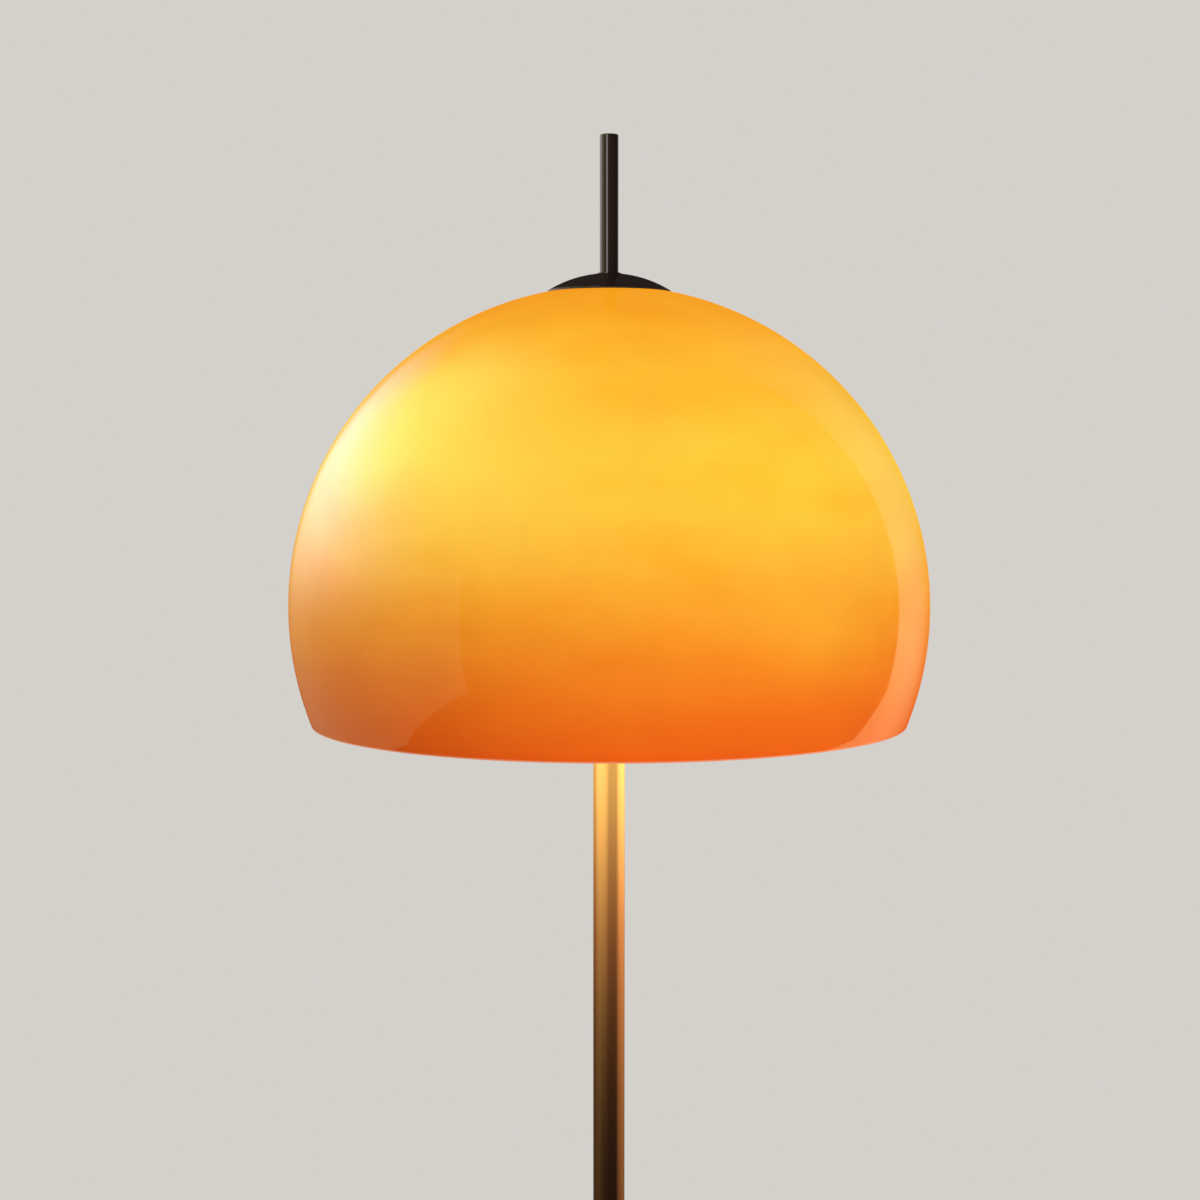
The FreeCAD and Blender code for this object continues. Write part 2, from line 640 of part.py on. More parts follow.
def on_light_axis(shape, light):
    """Put a shape made along +Z on a light's axis, its origin on the hub's spot face."""
    placed = shape.copy()
    placed.rotate(ORIGIN, V(0, 1, 0), LIGHT_TILT)
    placed.translate(V(LIGHT_START_R, 0, LIGHT_START_Z))
    placed.rotate(ORIGIN, Z, LIGHT_AZIMUTH + 360.0 * light / LIGHTS)
    return placed


def arm():
    inner = -ARM_WALL - ARM_NUT_T - OVERCUT
    return tube(ARM_R, ARM_BORE_R, inner, ARM_NUT_T + SOCKET_CAP_FLOOR_T + ARM_END_L)


def arm_nuts():
    outside = nut(ARM_NUT_R, ARM_R + FIT, 0, ARM_NUT_T)
    inside = nut(ARM_NUT_R, ARM_R + FIT, -ARM_WALL - ARM_NUT_T, -ARM_WALL)
    nuts = []
    for i in range(LIGHTS):
        nuts.append(on_light_axis(outside, i))
        nuts.append(on_light_axis(inside, i))
    return Part.Compound(nuts)


def socket_lead():
    return cyl(SOCKET_LEAD_R, -SOCKET_LEAD_START, SOCKET_CAP_TOP)


def rounded_cup(neck_r, mouth_r, low, high):
    """A solid that widens like a quarter round from its neck to its mouth."""
    share = math.sin(math.pi / 4)
    middle = (neck_r + (mouth_r - neck_r) * share, low + (high - low) * (1 - share))
    return turned([
        line((0, low), (neck_r, low)),
        arc((neck_r, low), middle, (mouth_r, high)),
        line((mouth_r, high), (0, high)),
        line((0, high), (0, low)),
    ])


def socket_cap():
    outside = rounded_cup(SOCKET_NECK_R, SOCKET_R, ARM_NUT_T, SOCKET_CAP_TOP)
    floor = ARM_NUT_T + SOCKET_CAP_FLOOR_T
    inside = rounded_cup(SOCKET_NECK_R - SOCKET_WALL, SOCKET_BORE_R, floor, SOCKET_CAP_TOP)
    inside = inside.fuse(cyl(SOCKET_BORE_R, SOCKET_CAP_TOP, SOCKET_CAP_TOP + OVERCUT))
    return outside.cut(inside).cut(cyl(ARM_R + FIT, 0, SOCKET_CAP_TOP))


def socket_shell():
    shell = tube(SOCKET_R, SOCKET_BORE_R, SOCKET_CAP_TOP, SOCKET_TOP)
    lip = tube(SOCKET_R, LINER_R + SOCKET_LINER_T, SOCKET_TOP - SOCKET_LIP_T, SOCKET_TOP)
    return shell.fuse(lip)


def socket_core():
    disc = cyl(SOCKET_BORE_R - FIT, SOCKET_CAP_TOP, CORE_TOP)
    well = tube(
        SOCKET_CORE_TUBE_R, LINER_R + SOCKET_LINER_T + FIT, CORE_TOP, CORE_TOP + SOCKET_LINER_L
    )
    return disc.fuse(well)


def socket_liner():
    return tube(LINER_R + SOCKET_LINER_T, LINER_R, CORE_TOP, CORE_TOP + SOCKET_LINER_L)


def bulb_screw():
    tip_end = BULB_TIP + BULB_TIP_L
    return cyl(BULB_TIP_R, BULB_TIP, tip_end).fuse(cyl(BULB_SCREW_R, tip_end, BULB_NECK))


def bulb_blank(inset):
    """The bulb's envelope: a ball with a cone that runs off it to the neck."""
    radius = BULB_R - inset
    neck_r = BULB_NECK_R - inset
    centre = BULB_TIP + BULB_LENGTH - BULB_R
    depth = centre - BULB_NECK
    turn = math.atan2(neck_r, depth) + math.acos(radius / math.hypot(neck_r, depth))
    touch = (radius * math.sin(turn), centre - radius * math.cos(turn))
    low = BULB_NECK - (OVERCUT if inset else 0)
    return turned([
        line((0, low), (neck_r, low)),
        line((neck_r, low), touch),
        arc(touch, (radius, centre), (0, centre + radius)),
        line((0, centre + radius), (0, low)),
    ])


def bulb_glass():
    return bulb_blank(0).cut(bulb_blank(BULB_WALL))


# ---- stem and shade seat ----
def stem_rod():
    return cyl(STEM_R, HUB_TOP - HUB_WALL - STEM_NUT_T - STEM_TAIL, STEM_TOP)


def stem_nuts():
    """Three like nuts: under and over the hub's top, and over the seat plate."""
    levels = [HUB_TOP - HUB_WALL - STEM_NUT_T, HUB_TOP, SEAT_BOSS_TOP]
    nuts = [nut(STEM_NUT_R, STEM_R + FIT, low, low + STEM_NUT_T) for low in levels]
    return Part.Compound(nuts)


def stem_sleeve():
    return tube(SLEEVE_R, STEM_R + STEM_FIT, HUB_TOP + STEM_NUT_T, SEAT_BOSS_BOTTOM)


def ball_shell(outer, inner, hole_r, edge_r):
    """A ring cut out of a spherical shell about the shade's centre."""
    ring = tube(edge_r, hole_r, EQUATOR_Z, EQUATOR_Z + outer + OVERCUT)
    return ball(outer, EQUATOR_Z).cut(ball(inner, EQUATOR_Z)).common(ring)


def seat_plate():
    dish = ball_shell(SEAT_TOP_R, SEAT_TOP_R - SEAT_T, STEM_R, SEAT_R)
    boss = cyl(SEAT_BOSS_R, SEAT_BOSS_BOTTOM, SEAT_BOSS_TOP)
    bore = cyl(STEM_R + STEM_FIT, SEAT_BOSS_BOTTOM - OVERCUT, SEAT_BOSS_TOP + OVERCUT)
    return dish.fuse(boss).cut(bore)


def seat_gasket():
    return ball_shell(GASKET_TOP_R, SEAT_TOP_R + FIT, SEAT_R - GASKET_W, SEAT_R)


# ---- shade body ----
def shade():
    """A ball with its bottom cut off, hollowed, with a hole for the seat's boss."""
    rim_r = math.sqrt(SHADE_R ** 2 - SHADE_RIM_DROP ** 2)
    low = box(-SHADE_R, SHADE_R, -SHADE_R, SHADE_R, SHADE_RIM_Z, EQUATOR_Z + SHADE_R)
    hole = cyl(SHADE_HOLE_R, EQUATOR_Z, EQUATOR_Z + SHADE_R + OVERCUT)
    shell = ball(SHADE_R, EQUATOR_Z).cut(ball(SHADE_BORE_R, EQUATOR_Z)).common(low).cut(hole)
    return shell.makeFillet(SHADE_RIM_ROUND, [outer_edge(shell, rim_r, SHADE_RIM_Z)])


def cap_gasket():
    return ball_shell(CAP_SEAT_R, SHADE_R, CAP_R - CAP_GASKET_W, CAP_R)


def top_cap():
    """A thin black dome whose edge follows the shade's curve, with a flat for the washer."""
    outside = ball(CAP_DOME_R, CAP_DOME_Z).common(cyl(CAP_R, EQUATOR_Z, CAP_TOP))
    inside = ball(CAP_DOME_R - CAP_T, CAP_DOME_Z).common(
        cyl(CAP_R - CAP_T, EQUATOR_Z, CAP_TOP - CAP_T)
    )
    dome = outside.cut(inside).cut(ball(CAP_SEAT_R, EQUATOR_Z))
    return dome.cut(cyl(STEM_R + MOVING_GAP, EQUATOR_Z, CAP_TOP + OVERCUT))


# ---- finial ----
def finial_washer():
    return tube(FINIAL_WASHER_R, STEM_R + MOVING_GAP, CAP_TOP, FINIAL_Z)


def finial_rod():
    top = FINIAL_Z + FINIAL_L
    rod = cyl(FINIAL_R, FINIAL_Z, top)
    rod = rod.makeFillet(FINIAL_EDGE, [outer_edge(rod, FINIAL_R, top)])
    depth = FINIAL_THREAD_L + FINIAL_BORE_EXTRA
    return rod.cut(cyl(STEM_R + STEM_FIT, FINIAL_Z - OVERCUT, FINIAL_Z + depth))


# ---- the lamp's pieces ----
SINGLE_PIECES = [
    floor_pad, base_weight, base_cover, pole_foot, pole_foot_screws, pole_collar, collar_screw,
    cord_inlet_grommet, terminal_block, terminal_screws, terminal_fixings, earth_screw,
    foot_switch_body, foot_switch_bezel, foot_switch_button, foot_switch_spring,
    pole_lower, pole_upper, pole_coupler, inner_lead,
    hub_base, hub_shell, hub_screws, wire_splice, arm_nuts,
    stem_rod, stem_nuts, stem_sleeve, seat_plate, seat_gasket,
    shade, cap_gasket, top_cap, finial_washer, finial_rod,
]
LIGHT_PIECES = [
    arm, socket_lead, socket_cap, socket_shell, socket_core, socket_liner, bulb_screw, bulb_glass,
]


def write(name, shape):
    shape.exportStep("parts/" + name + ".step")


def main():
    os.makedirs("parts", exist_ok=True)
    for piece in SINGLE_PIECES:
        write(piece.__name__, piece())
    for piece in LIGHT_PIECES:
        for light in range(LIGHTS):
            write("%s_%d" % (piece.__name__, light + 1), on_light_axis(piece(), light))
    print("lamp height", round(FINIAL_Z + FINIAL_L, 2), "equator", round(EQUATOR_Z, 2))
    print("cap top", round(CAP_TOP, 2), "stem top", round(STEM_TOP, 2))


main()
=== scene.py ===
"""Looks of a floor lamp with a domed, glowing orange shade on a slim black pole."""

import json
import math

import bpy
from bpy.props import FloatProperty, FloatVectorProperty, IntProperty, PointerProperty
from mathutils import Matrix, Vector


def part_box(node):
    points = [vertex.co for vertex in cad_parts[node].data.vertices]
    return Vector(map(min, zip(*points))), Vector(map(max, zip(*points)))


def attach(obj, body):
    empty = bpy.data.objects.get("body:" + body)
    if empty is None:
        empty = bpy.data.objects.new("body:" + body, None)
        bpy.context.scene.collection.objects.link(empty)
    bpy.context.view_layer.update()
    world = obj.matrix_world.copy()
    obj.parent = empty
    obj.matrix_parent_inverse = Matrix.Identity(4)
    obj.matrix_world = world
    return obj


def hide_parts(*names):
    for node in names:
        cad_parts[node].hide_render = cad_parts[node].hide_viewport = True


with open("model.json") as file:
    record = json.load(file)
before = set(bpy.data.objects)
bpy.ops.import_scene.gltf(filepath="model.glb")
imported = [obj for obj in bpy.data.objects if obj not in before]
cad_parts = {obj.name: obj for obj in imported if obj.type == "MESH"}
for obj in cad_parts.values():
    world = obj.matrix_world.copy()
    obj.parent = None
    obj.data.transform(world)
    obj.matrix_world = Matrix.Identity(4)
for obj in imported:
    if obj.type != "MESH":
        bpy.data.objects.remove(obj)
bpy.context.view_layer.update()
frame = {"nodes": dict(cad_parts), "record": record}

bl_info = {
    "name": "Mushroom Floor Lamp",
    "version": (1, 0, 0),
    "blender": (4, 5, 0),
    "location": "3D View > Sidebar > Lamp",
    "description": "Makes the looks of a floor lamp with a domed shade round its packed frame",
    "category": "Object",
}

SHADE_LOW, SHADE_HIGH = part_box("shade")
CAP_LOW, CAP_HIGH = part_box("top_cap")
ROD_LOW, ROD_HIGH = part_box("finial_rod")
WASHER_LOW, WASHER_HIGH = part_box("finial_washer")
LOWER_LOW, LOWER_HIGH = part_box("pole_lower")
UPPER_LOW, UPPER_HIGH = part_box("pole_upper")
MM = 0.001


# ---- sizes and colours ----
def length(name, text, default, low=0.0):
    return FloatProperty(
        name=name, description=text, default=default, min=low, unit="LENGTH", precision=5
    )


def colour(name, text, default):
    return FloatVectorProperty(
        name=name, description=text, default=default, size=3, min=0.0, max=1.0, subtype="COLOR"
    )


def amount(name, text, default, high=1.0):
    return FloatProperty(name=name, description=text, default=default, min=0.0, max=high)


def number(name, text, default, low=3):
    return IntProperty(name=name, description=text, default=default, min=low)


class ShadeSettings(bpy.types.PropertyGroup):
    radius: length("Radius", "Outer radius of the ball that the shade is part of", SHADE_HIGH.x)
    wall: length("Wall", "Thickness of the acrylic", 3.0 * MM)
    hole: length("Hole radius", "Radius of the hole under the cap", 12.0 * MM)
    rim: length("Rim height", "Height of the rim above the floor", SHADE_LOW.z)
    around: number("Faces around", "Faces round the shade", 192)
    rings: number("Rings", "Rings of faces from the hole to the rim", 80)
    band: colour("Bright band", "Glow at the height of the bulbs", (1.0, 0.64, 0.055))
    crown: colour("Crown", "Glow under the cap", (1.0, 0.37, 0.008))
    waist: colour("Waist", "Glow at the widest place", (0.97, 0.338, 0.02))
    hem: colour("Hem", "Glow at the rim", (0.88, 0.120, 0.006))
    glow: amount("Glow", "Share of the colour that the light inside gives", 0.73)
    clouds: length("Clouds", "How far soft clouds in the acrylic shift its colours", 15.0 * MM)
    gloss: amount("Gloss", "Weight of the clear gloss over the acrylic", 0.66)


class FinialSettings(bpy.types.PropertyGroup):
    cap_radius: length("Cap radius", "Radius of the cap's edge", CAP_HIGH.x)
    cap_rise: length("Cap rise", "Height of the cap's dome over its edge", 11.0 * MM)
    cap_wall: length("Cap wall", "Thickness of the cap", 1.6 * MM)
    cap_flat: length("Cap flat", "Radius of the flat that the washer lies on", 9.0 * MM)
    rod_radius: length("Rod radius", "Radius of the rod", ROD_HIGH.x)
    rod_edge: length("Rod edge", "Rounding of the rod's top edge", 0.8 * MM)
    rod_hole: length("Rod hole", "Depth of the hole in the rod's foot", 17.0 * MM)
    bore: length("Bore", "Radius of the holes for the threaded stem", 4.3 * MM)
    around: number("Faces around", "Faces round the cap and the rod", 128)
    lacquer: colour("Lacquer", "Colour of the black lacquer", (0.0095, 0.0055, 0.0045))


class PoleSettings(bpy.types.PropertyGroup):
    radius: length("Radius", "Outer radius of the pole", UPPER_HIGH.x)
    wall: length("Wall", "Thickness of the tube", 1.5 * MM)
    edge: length("Edge", "Rounding where the two tubes meet", 0.35 * MM)
    around: number("Faces around", "Faces round the pole", 96)
    metal: colour("Metal", "Colour of the dark metal", (0.038, 0.019, 0.012))
    warmth: colour("Warmth", "Light from the bulbs on the pole", (1.0, 0.50, 0.115))
    fade: length("Fade", "Drop over which that light falls to a third", 104.0 * MM)


class LightSettings(bpy.types.PropertyGroup):
    lean: FloatProperty(
        name="Lean", description="How far each light leans out from upright",
        default=math.radians(40.0), subtype="ANGLE",
    )
    start_radius: length("Start radius", "How far out each light starts", 20.357 * MM)
    start_height: length("Start height", "How high up each light starts", 1244.786 * MM)
    neck: length("Neck", "Radius of the socket where it meets the arm", 10.0 * MM)
    barrel: length("Barrel", "Radius of the socket", 20.5 * MM)
    socket_wall: length("Socket wall", "Thickness of the socket's wall", 1.8 * MM)
    mouth: length("Mouth", "Radius of the opening in the socket's lip", 14.1 * MM)
    lip_wall: length("Lip wall", "Thickness of the socket's lip", 1.5 * MM)
    arm_hole: length("Arm hole", "Radius of the hole that the arm goes through", 5.05 * MM)
    ribs: number("Ribs", "Grip ribs round the socket", 36)
    rib: length("Rib", "Radius of a rib", 0.75 * MM)
    screw: length("Screw", "Radius of the bulb's screw", 13.0 * MM)
    pitch: length("Pitch", "Pitch of the bulb's screw", 3.63 * MM)
    thread: length("Thread", "Depth of the thread on the bulb's screw", 0.9 * MM)
    globe: length("Globe", "Radius of the bulb's globe", 30.0 * MM)
    bulb_neck: length("Bulb neck", "Radius of the bulb's neck", 14.5 * MM)
    glass: length("Glass", "Thickness of the glass", 1.2 * MM)
    around: number("Faces around", "Faces round a socket or a bulb", 96)
    stem: length("Stem", "Radius of the stem", 4.0 * MM)
    stem_low: length("Stem foot", "Height of the stem's lower end", 1244.104 * MM)
    stem_high: length("Stem top", "Height of the stem's upper end", 1478.717 * MM)
    stem_pitch: length("Stem pitch", "Pitch of the stem's thread", 1.25 * MM)
    stem_thread: length("Stem thread", "Depth of the stem's thread", 0.6 * MM)
    stem_bare: length("Bare thread", "Length of thread that shows on the stem", 20.8 * MM)


class StudioSettings(bpy.types.PropertyGroup):
    backdrop: colour("Backdrop", "Colour of the backdrop", (0.66, 0.635, 0.60))
    floor: colour("Floor", "Colour of the floor", (0.70, 0.675, 0.64))
    ambient: amount("Ambient", "Soft light from all sides", 0.42)
    key: amount("Key", "Power of the key light in watts", 36.0, 500.0)
    fill: amount("Fill", "Power of the fill light in watts", 19.0, 500.0)
    back: amount("Back", "Power of the light from behind in watts", 20.0, 500.0)
    tent: colour("Tent", "Colour of the tent that the gloss shows", (0.165, 0.15, 0.135))
    window: amount("Window", "Brightness of the soft window in the tent", 8.8, 50.0)
    warm: amount("Warm glow", "Brightness of the warm glow about the window", 14.3, 50.0)
    haze: amount("Haze", "Brightness of the pale wall under the window", 1.4, 50.0)
    strip: amount("Strip", "Brightness of the strip across from the window", 2.6, 50.0)
    slit: amount("Slit", "Power in watts of the narrow lamp that the black gloss shows", 19.0, 50.0)


# ---- node trees ----
def find(sockets, name):
    """A socket by its place, its identifier or its name."""
    if isinstance(name, int):
        return sockets[name]
    return next((s for s in sockets if s.identifier == name), None) or sockets[name]


class Value:
    """A node's output. Sums and products on it add Math nodes."""

    def __init__(self, graph, socket):
        self.graph = graph
        self.socket = socket

    def __getitem__(self, name):
        return Value(self.graph, find(self.socket.node.outputs, name))

    def __add__(self, other):
        return self.graph.maths("ADD", self, other)

    def __sub__(self, other):
        return self.graph.maths("SUBTRACT", self, other)

    def __rsub__(self, other):
        return self.graph.maths("SUBTRACT", other, self)

    def __mul__(self, other):
        return self.graph.maths("MULTIPLY", self, other)

    def __truediv__(self, other):
        return self.graph.maths("DIVIDE", self, other)

    def __rtruediv__(self, other):
        return self.graph.maths("DIVIDE", other, self)

    def __pow__(self, other):
        return self.graph.maths("POWER", self, other)

    def __neg__(self):
        return self.graph.maths("MULTIPLY", self, -1.0)

    __radd__ = __add__
    __rmul__ = __mul__


class Graph:
    """Adds nodes and links to one node tree."""

    def __init__(self, tree):
        self.tree = tree
        tree.nodes.clear()

    def node(self, kind, settings=None, sockets=None, out=0):
        """Adds a node, sets it and then its sockets, and gives one of its outputs."""
        made = self.tree.nodes.new(kind)
        for name, value in (settings or {}).items():
            if name == "stops":
                set_stops(made.color_ramp, value)
            else:
                setattr(made, name, value)
        for name, value in (sockets or {}).items():
            socket = find(made.inputs, name)
            if isinstance(value, Value):
                self.tree.links.new(value.socket, socket)
            else:
                socket.default_value = value
        return Value(self, find(made.outputs, out)) if made.outputs else None

    def maths(self, operation, *values):
        return self.node("ShaderNodeMath", {"operation": operation}, dict(enumerate(values)))

    def step(self, value, start, end):
        """A soft step from 0 at start to 1 at end."""
        sockets = {"Value": value, "From Min": start, "From Max": end}
        return self.node(
            "ShaderNodeMapRange", {"interpolation_type": "SMOOTHSTEP"}, sockets, "Result"
        )


def set_stops(ramp, stops):
    while len(ramp.elements) > 1:
        ramp.elements.remove(ramp.elements[-1])
    for i, (place, shade) in enumerate(stops):
        stop = ramp.elements[0] if i == 0 else ramp.elements.new(place)
        stop.position = place
        stop.color = (*shade, 1.0)


class Finish(Graph):
    """A material of procedural nodes."""

    def __init__(self, name):
        self.material = bpy.data.materials.new(name)
        self.material.use_nodes = True
        super().__init__(self.material.node_tree)
        self.place = self.node("ShaderNodeTexCoord", out="Object")

    def axes(self):
        split = self.node("ShaderNodeSeparateXYZ", None, {"Vector": self.place})
        return split["X"], split["Y"], split["Z"]

    def noise(self, scale, detail=2.0, roughness=0.5, stretch=(1.0, 1.0, 1.0)):
        """Cloudy values from 0 to 1, scale of them in a metre, drawn out by stretch."""
        place = self.node(
            "ShaderNodeMapping", None, {"Vector": self.place, "Scale": stretch}, "Vector"
        )
        sockets = {"Vector": place, "Scale": scale, "Detail": detail, "Roughness": roughness}
        return self.node("ShaderNodeTexNoise", None, sockets, "Fac")

    def mix(self, share, first, second, blend="MIX"):
        """A colour between two, or their product and the like."""
        settings = {"data_type": "RGBA", "blend_type": blend}
        sockets = {"Factor_Float": share, "A_Color": opaque(first), "B_Color": opaque(second)}
        return self.node("ShaderNodeMix", settings, sockets, "Result_Color")

    def ramp(self, share, stops):
        """A colour from stops that run softly into each other."""
        made = self.node("ShaderNodeValToRGB", {"stops": stops}, {"Fac": share}, "Color")
        made.socket.node.color_ramp.interpolation = "B_SPLINE"
        return made

    def grey(self, level):
        """A level as a colour, for a product with another."""
        sockets = {"Red": level, "Green": level, "Blue": level}
        return self.node("ShaderNodeCombineColor", None, sockets, "Color")

    def gloss(self, weight):
        """The weight of a clear gloss, less of it where the surface turns away."""
        facing = self.node("ShaderNodeLayerWeight", None, {"Blend": 0.5}, "Facing")
        return weight * (1.0 - facing * facing)

    def bump(self, height, distance, strength=1.0):
        sockets = {"Height": height, "Distance": distance, "Strength": strength}
        return self.node("ShaderNodeBump", None, sockets, "Normal")

    def surface(self, sockets):
        """Puts the sockets on a Principled shader and shows it."""
        ready = {k: opaque(v) if k.endswith("Color") else v for k, v in sockets.items()}
        shader = self.node("ShaderNodeBsdfPrincipled", None, ready, "BSDF")
        self.node("ShaderNodeOutputMaterial", None, {"Surface": shader})
        return self.material


def opaque(shade):
    return shade if isinstance(shade, Value) else (*shade[:3], 1.0)


def tinted(shade, factor):
    return tuple(channel * factor for channel in shade[:3])


# ---- finishes ----
# Broad patches on the front of the shade that move its glow's bands of colour up or down, in
# millimetres: across, up from the widest place, the two half widths, and how far each one shifts the
# bands of colour.
PATCHES = (
    (30.0, 124.0, 46.0, 15.0, 24.0),
    (118.0, 108.0, 22.0, 12.0, 12.0),
    (120.0, -10.0, 34.0, 20.0, 16.0),
    (62.0, -56.0, 60.0, 14.0, -7.0),
)
# A painted bright patch in the glow on the front of the shade, in millimetres: across, up from the
# widest place, and the two half widths.
PAINTED_BRIGHT_PATCH = (98.0, 74.0, 54.0, 34.0)


def acrylic(settings, equator):
    """Glossy orange acrylic that glows in bands of height, with soft clouds in it."""
    finish = Finish("shade_acrylic")
    x, y, z = finish.axes()
    clouds = finish.noise(7.0, 3.0, 0.55, (1.0, 1.0, 1.7)) - 0.5
    veil = finish.noise(2.6, 1.0, 0.4) - 0.5
    height = z - equator + clouds * (2.0 * settings.clouds) + veil * settings.clouds
    front = finish.step(y, 20 * MM, -40 * MM)

    def patch(across, up, wide, tall):
        """1 in the middle of a patch in the front, and fading from there."""
        sideways = (x - across * MM) / (wide * MM)
        upwards = (z - equator - up * MM) / (tall * MM)
        return finish.maths("EXPONENT", -(sideways ** 2.0 + upwards ** 2.0)) * front

    for *place, shift in PATCHES:
        height = height + patch(*place) * (shift * MM)
    low = settings.rim - equator
    share = (height - low) / (settings.radius - low)
    band, crown = settings.band[:], settings.crown[:]
    waist, hem = settings.waist[:], settings.hem[:]

    def between(first, second, part):
        return tuple(a + (b - a) * part for a, b in zip(first, second))

    def at(place, shade):
        return ((place - low) / (settings.radius - low), shade)

    stops = [
        at(low + 4 * MM, hem),
        at(-32 * MM, between(hem, waist, 0.42)),
        at(2 * MM, waist),
        at(40 * MM, between(waist, band, 0.48)),
        at(84 * MM, band),
        at(128 * MM, between(band, crown, 0.34)),
        at(165 * MM, between(band, crown, 0.62)),
        at(192 * MM, crown),
    ]
    glow = finish.ramp(share, stops)
    # Painted shade: side marks the lower left (-X) of the shade, where the glow is made darker.
    side = finish.step(-x, -41 * MM, 197 * MM) * finish.step(z - equator, 139 * MM, -144 * MM)
    mottle = finish.noise(26.0, 3.0, 0.6) * 0.16 + 0.922
    veins = finish.step(finish.noise(8.0, 3.0, 0.5, (1.0, 1.0, 2.4)), 0.46, 0.72)
    glow = finish.mix(veins, glow, finish.mix(1.0, glow, (1.0, 0.88, 0.64), "MULTIPLY"))
    # Painted light and shade: the glow is made a little brighter towards +X and in the bright patch,
    # and darker where side is.
    across = finish.step(x, 16 * MM, 110 * MM) * 0.05 - side * 0.60 + patch(*PAINTED_BRIGHT_PATCH) * 0.09
    lit = finish.mix(1.0, glow, finish.grey((1.0 + across) * mottle), "MULTIPLY")
    # Painted highlight: a pale pink line along the rim's edge.
    edge = finish.step(z - settings.rim, 1.5 * MM, 0.4 * MM)
    lit = finish.mix(edge * 0.35, lit, (1.0, 0.62, 0.42))
    # The base colour is the glow's colour darkened, so the bands of light from the bulbs, the painted
    # shade and the painted rim highlight are in the surface colour too.
    body = finish.mix(1.0, lit, (0.35, 0.33, 0.31), "MULTIPLY")
    ripple = finish.noise(9.0, 1.0, 0.3)
    return finish.surface({
        "Base Color": body,
        "Roughness": 0.32 + 0.06 * mottle,
        "Specular IOR Level": 0.0,
        "Coat Weight": finish.gloss(settings.gloss),
        "Coat Roughness": 0.025,
        "Coat IOR": 1.38,
        "Emission Color": lit,
        "Emission Strength": settings.glow,
        "Normal": finish.bump(ripple, 0.25 * MM, 0.25),
    })


def lacquer(name, shade):
    """Gloss black lacquer with a faint orange peel."""
    finish = Finish(name)
    cloud = finish.noise(35.0, 3.0)
    fine = finish.noise(420.0, 2.0)
    return finish.surface({
        "Base Color": finish.mix(cloud, tinted(shade, 0.75), tinted(shade, 1.3)),
        "Roughness": 0.30 + cloud * 0.08,
        "Specular IOR Level": 0.0,
        "Coat Weight": finish.gloss(0.42),
        "Coat Roughness": 0.05,
        "Coat IOR": 1.42,
        "Normal": finish.bump(fine, 0.02 * MM, 0.35),
    })


def satin_pole(settings, top):
    """Dark satin metal with a fine grain, with painted light: the light of the bulbs above, painted on
    as emission and fading down the pole, with painted highlights and a painted reflection in three
    soft stripes.
    """
    finish = Finish("pole_metal")
    x, y, z = finish.axes()
    grain = finish.noise(1900.0, 2.0, 0.6)
    cloud = finish.noise(22.0, 3.0, 0.55)
    metal = settings.metal[:]

    def stripe(azimuth, start):
        a = math.radians(azimuth)
        return finish.step((x * math.cos(a) + y * math.sin(a)) / settings.radius, start, 1.0)

    # Painted light: near falls off under the shade and is stronger in the two broad stripes, which are
    # painted highlights; far, in the stripe at -32 degrees, is a painted reflection that fades more
    # slowly.
    drop = finish.maths("MAXIMUM", (top - z) / settings.fade, 0.0)
    near = finish.maths("EXPONENT", -(drop ** 1.5)) * 0.86
    far = finish.maths("EXPONENT", drop * -0.7) * 1.25
    broad = stripe(-119.0, 0.85) + stripe(92.0, 0.85)
    warm = near * (1.0 + 0.85 * broad) + far * stripe(-32.0, 0.84)
    warm = warm * (0.88 + 0.24 * grain)
    # The painted light turns browner further down the pole.
    deep = finish.step(drop, 0.3, 1.5) * (1.0 - 0.6 * broad)
    tone = finish.mix(deep, settings.warmth[:], (1.0, 0.33, 0.085))
    glow = finish.mix(1.0, tone, finish.grey(warm), "MULTIPLY")
    return finish.surface({
        "Base Color": finish.mix(grain, tinted(metal, 0.55), tinted(metal, 1.6)),
        "Metallic": 0.85,
        "Roughness": 0.30 + cloud * 0.10,
        "Specular Tint": (0.25, 0.12, 0.07, 1.0),
        "Emission Color": glow,
        "Emission Strength": 1.0,
        "Normal": finish.bump(grain, 0.03 * MM, 0.5),
    })


def powder(name, shade):
    """Satin black powder coat with a fine grain."""
    finish = Finish(name)
    grain = finish.noise(1500.0, 2.0, 0.6)
    cloud = finish.noise(18.0, 3.0)
    return finish.surface({
        "Base Color": finish.mix(grain, tinted(shade, 0.7), tinted(shade, 1.35)),
        "Roughness": 0.33 + cloud * 0.12,
        "Specular IOR Level": 0.45,
        "Specular Tint": (0.36, 0.34, 0.56, 1.0),
        "Normal": finish.bump(grain, 0.04 * MM, 0.6),
    })


def metal(name, shade, roughness, scale=900.0):
    """Bare metal with fine marks."""
    finish = Finish(name)
    marks = finish.noise(scale, 3.0, 0.6)
    cloud = finish.noise(45.0, 2.0)
    return finish.surface({
        "Base Color": finish.mix(cloud, tinted(shade, 0.82), tinted(shade, 1.06)),
        "Metallic": 1.0,
        "Roughness": roughness + marks * 0.16,
        "Normal": finish.bump(marks, 0.03 * MM, 0.4),
    })


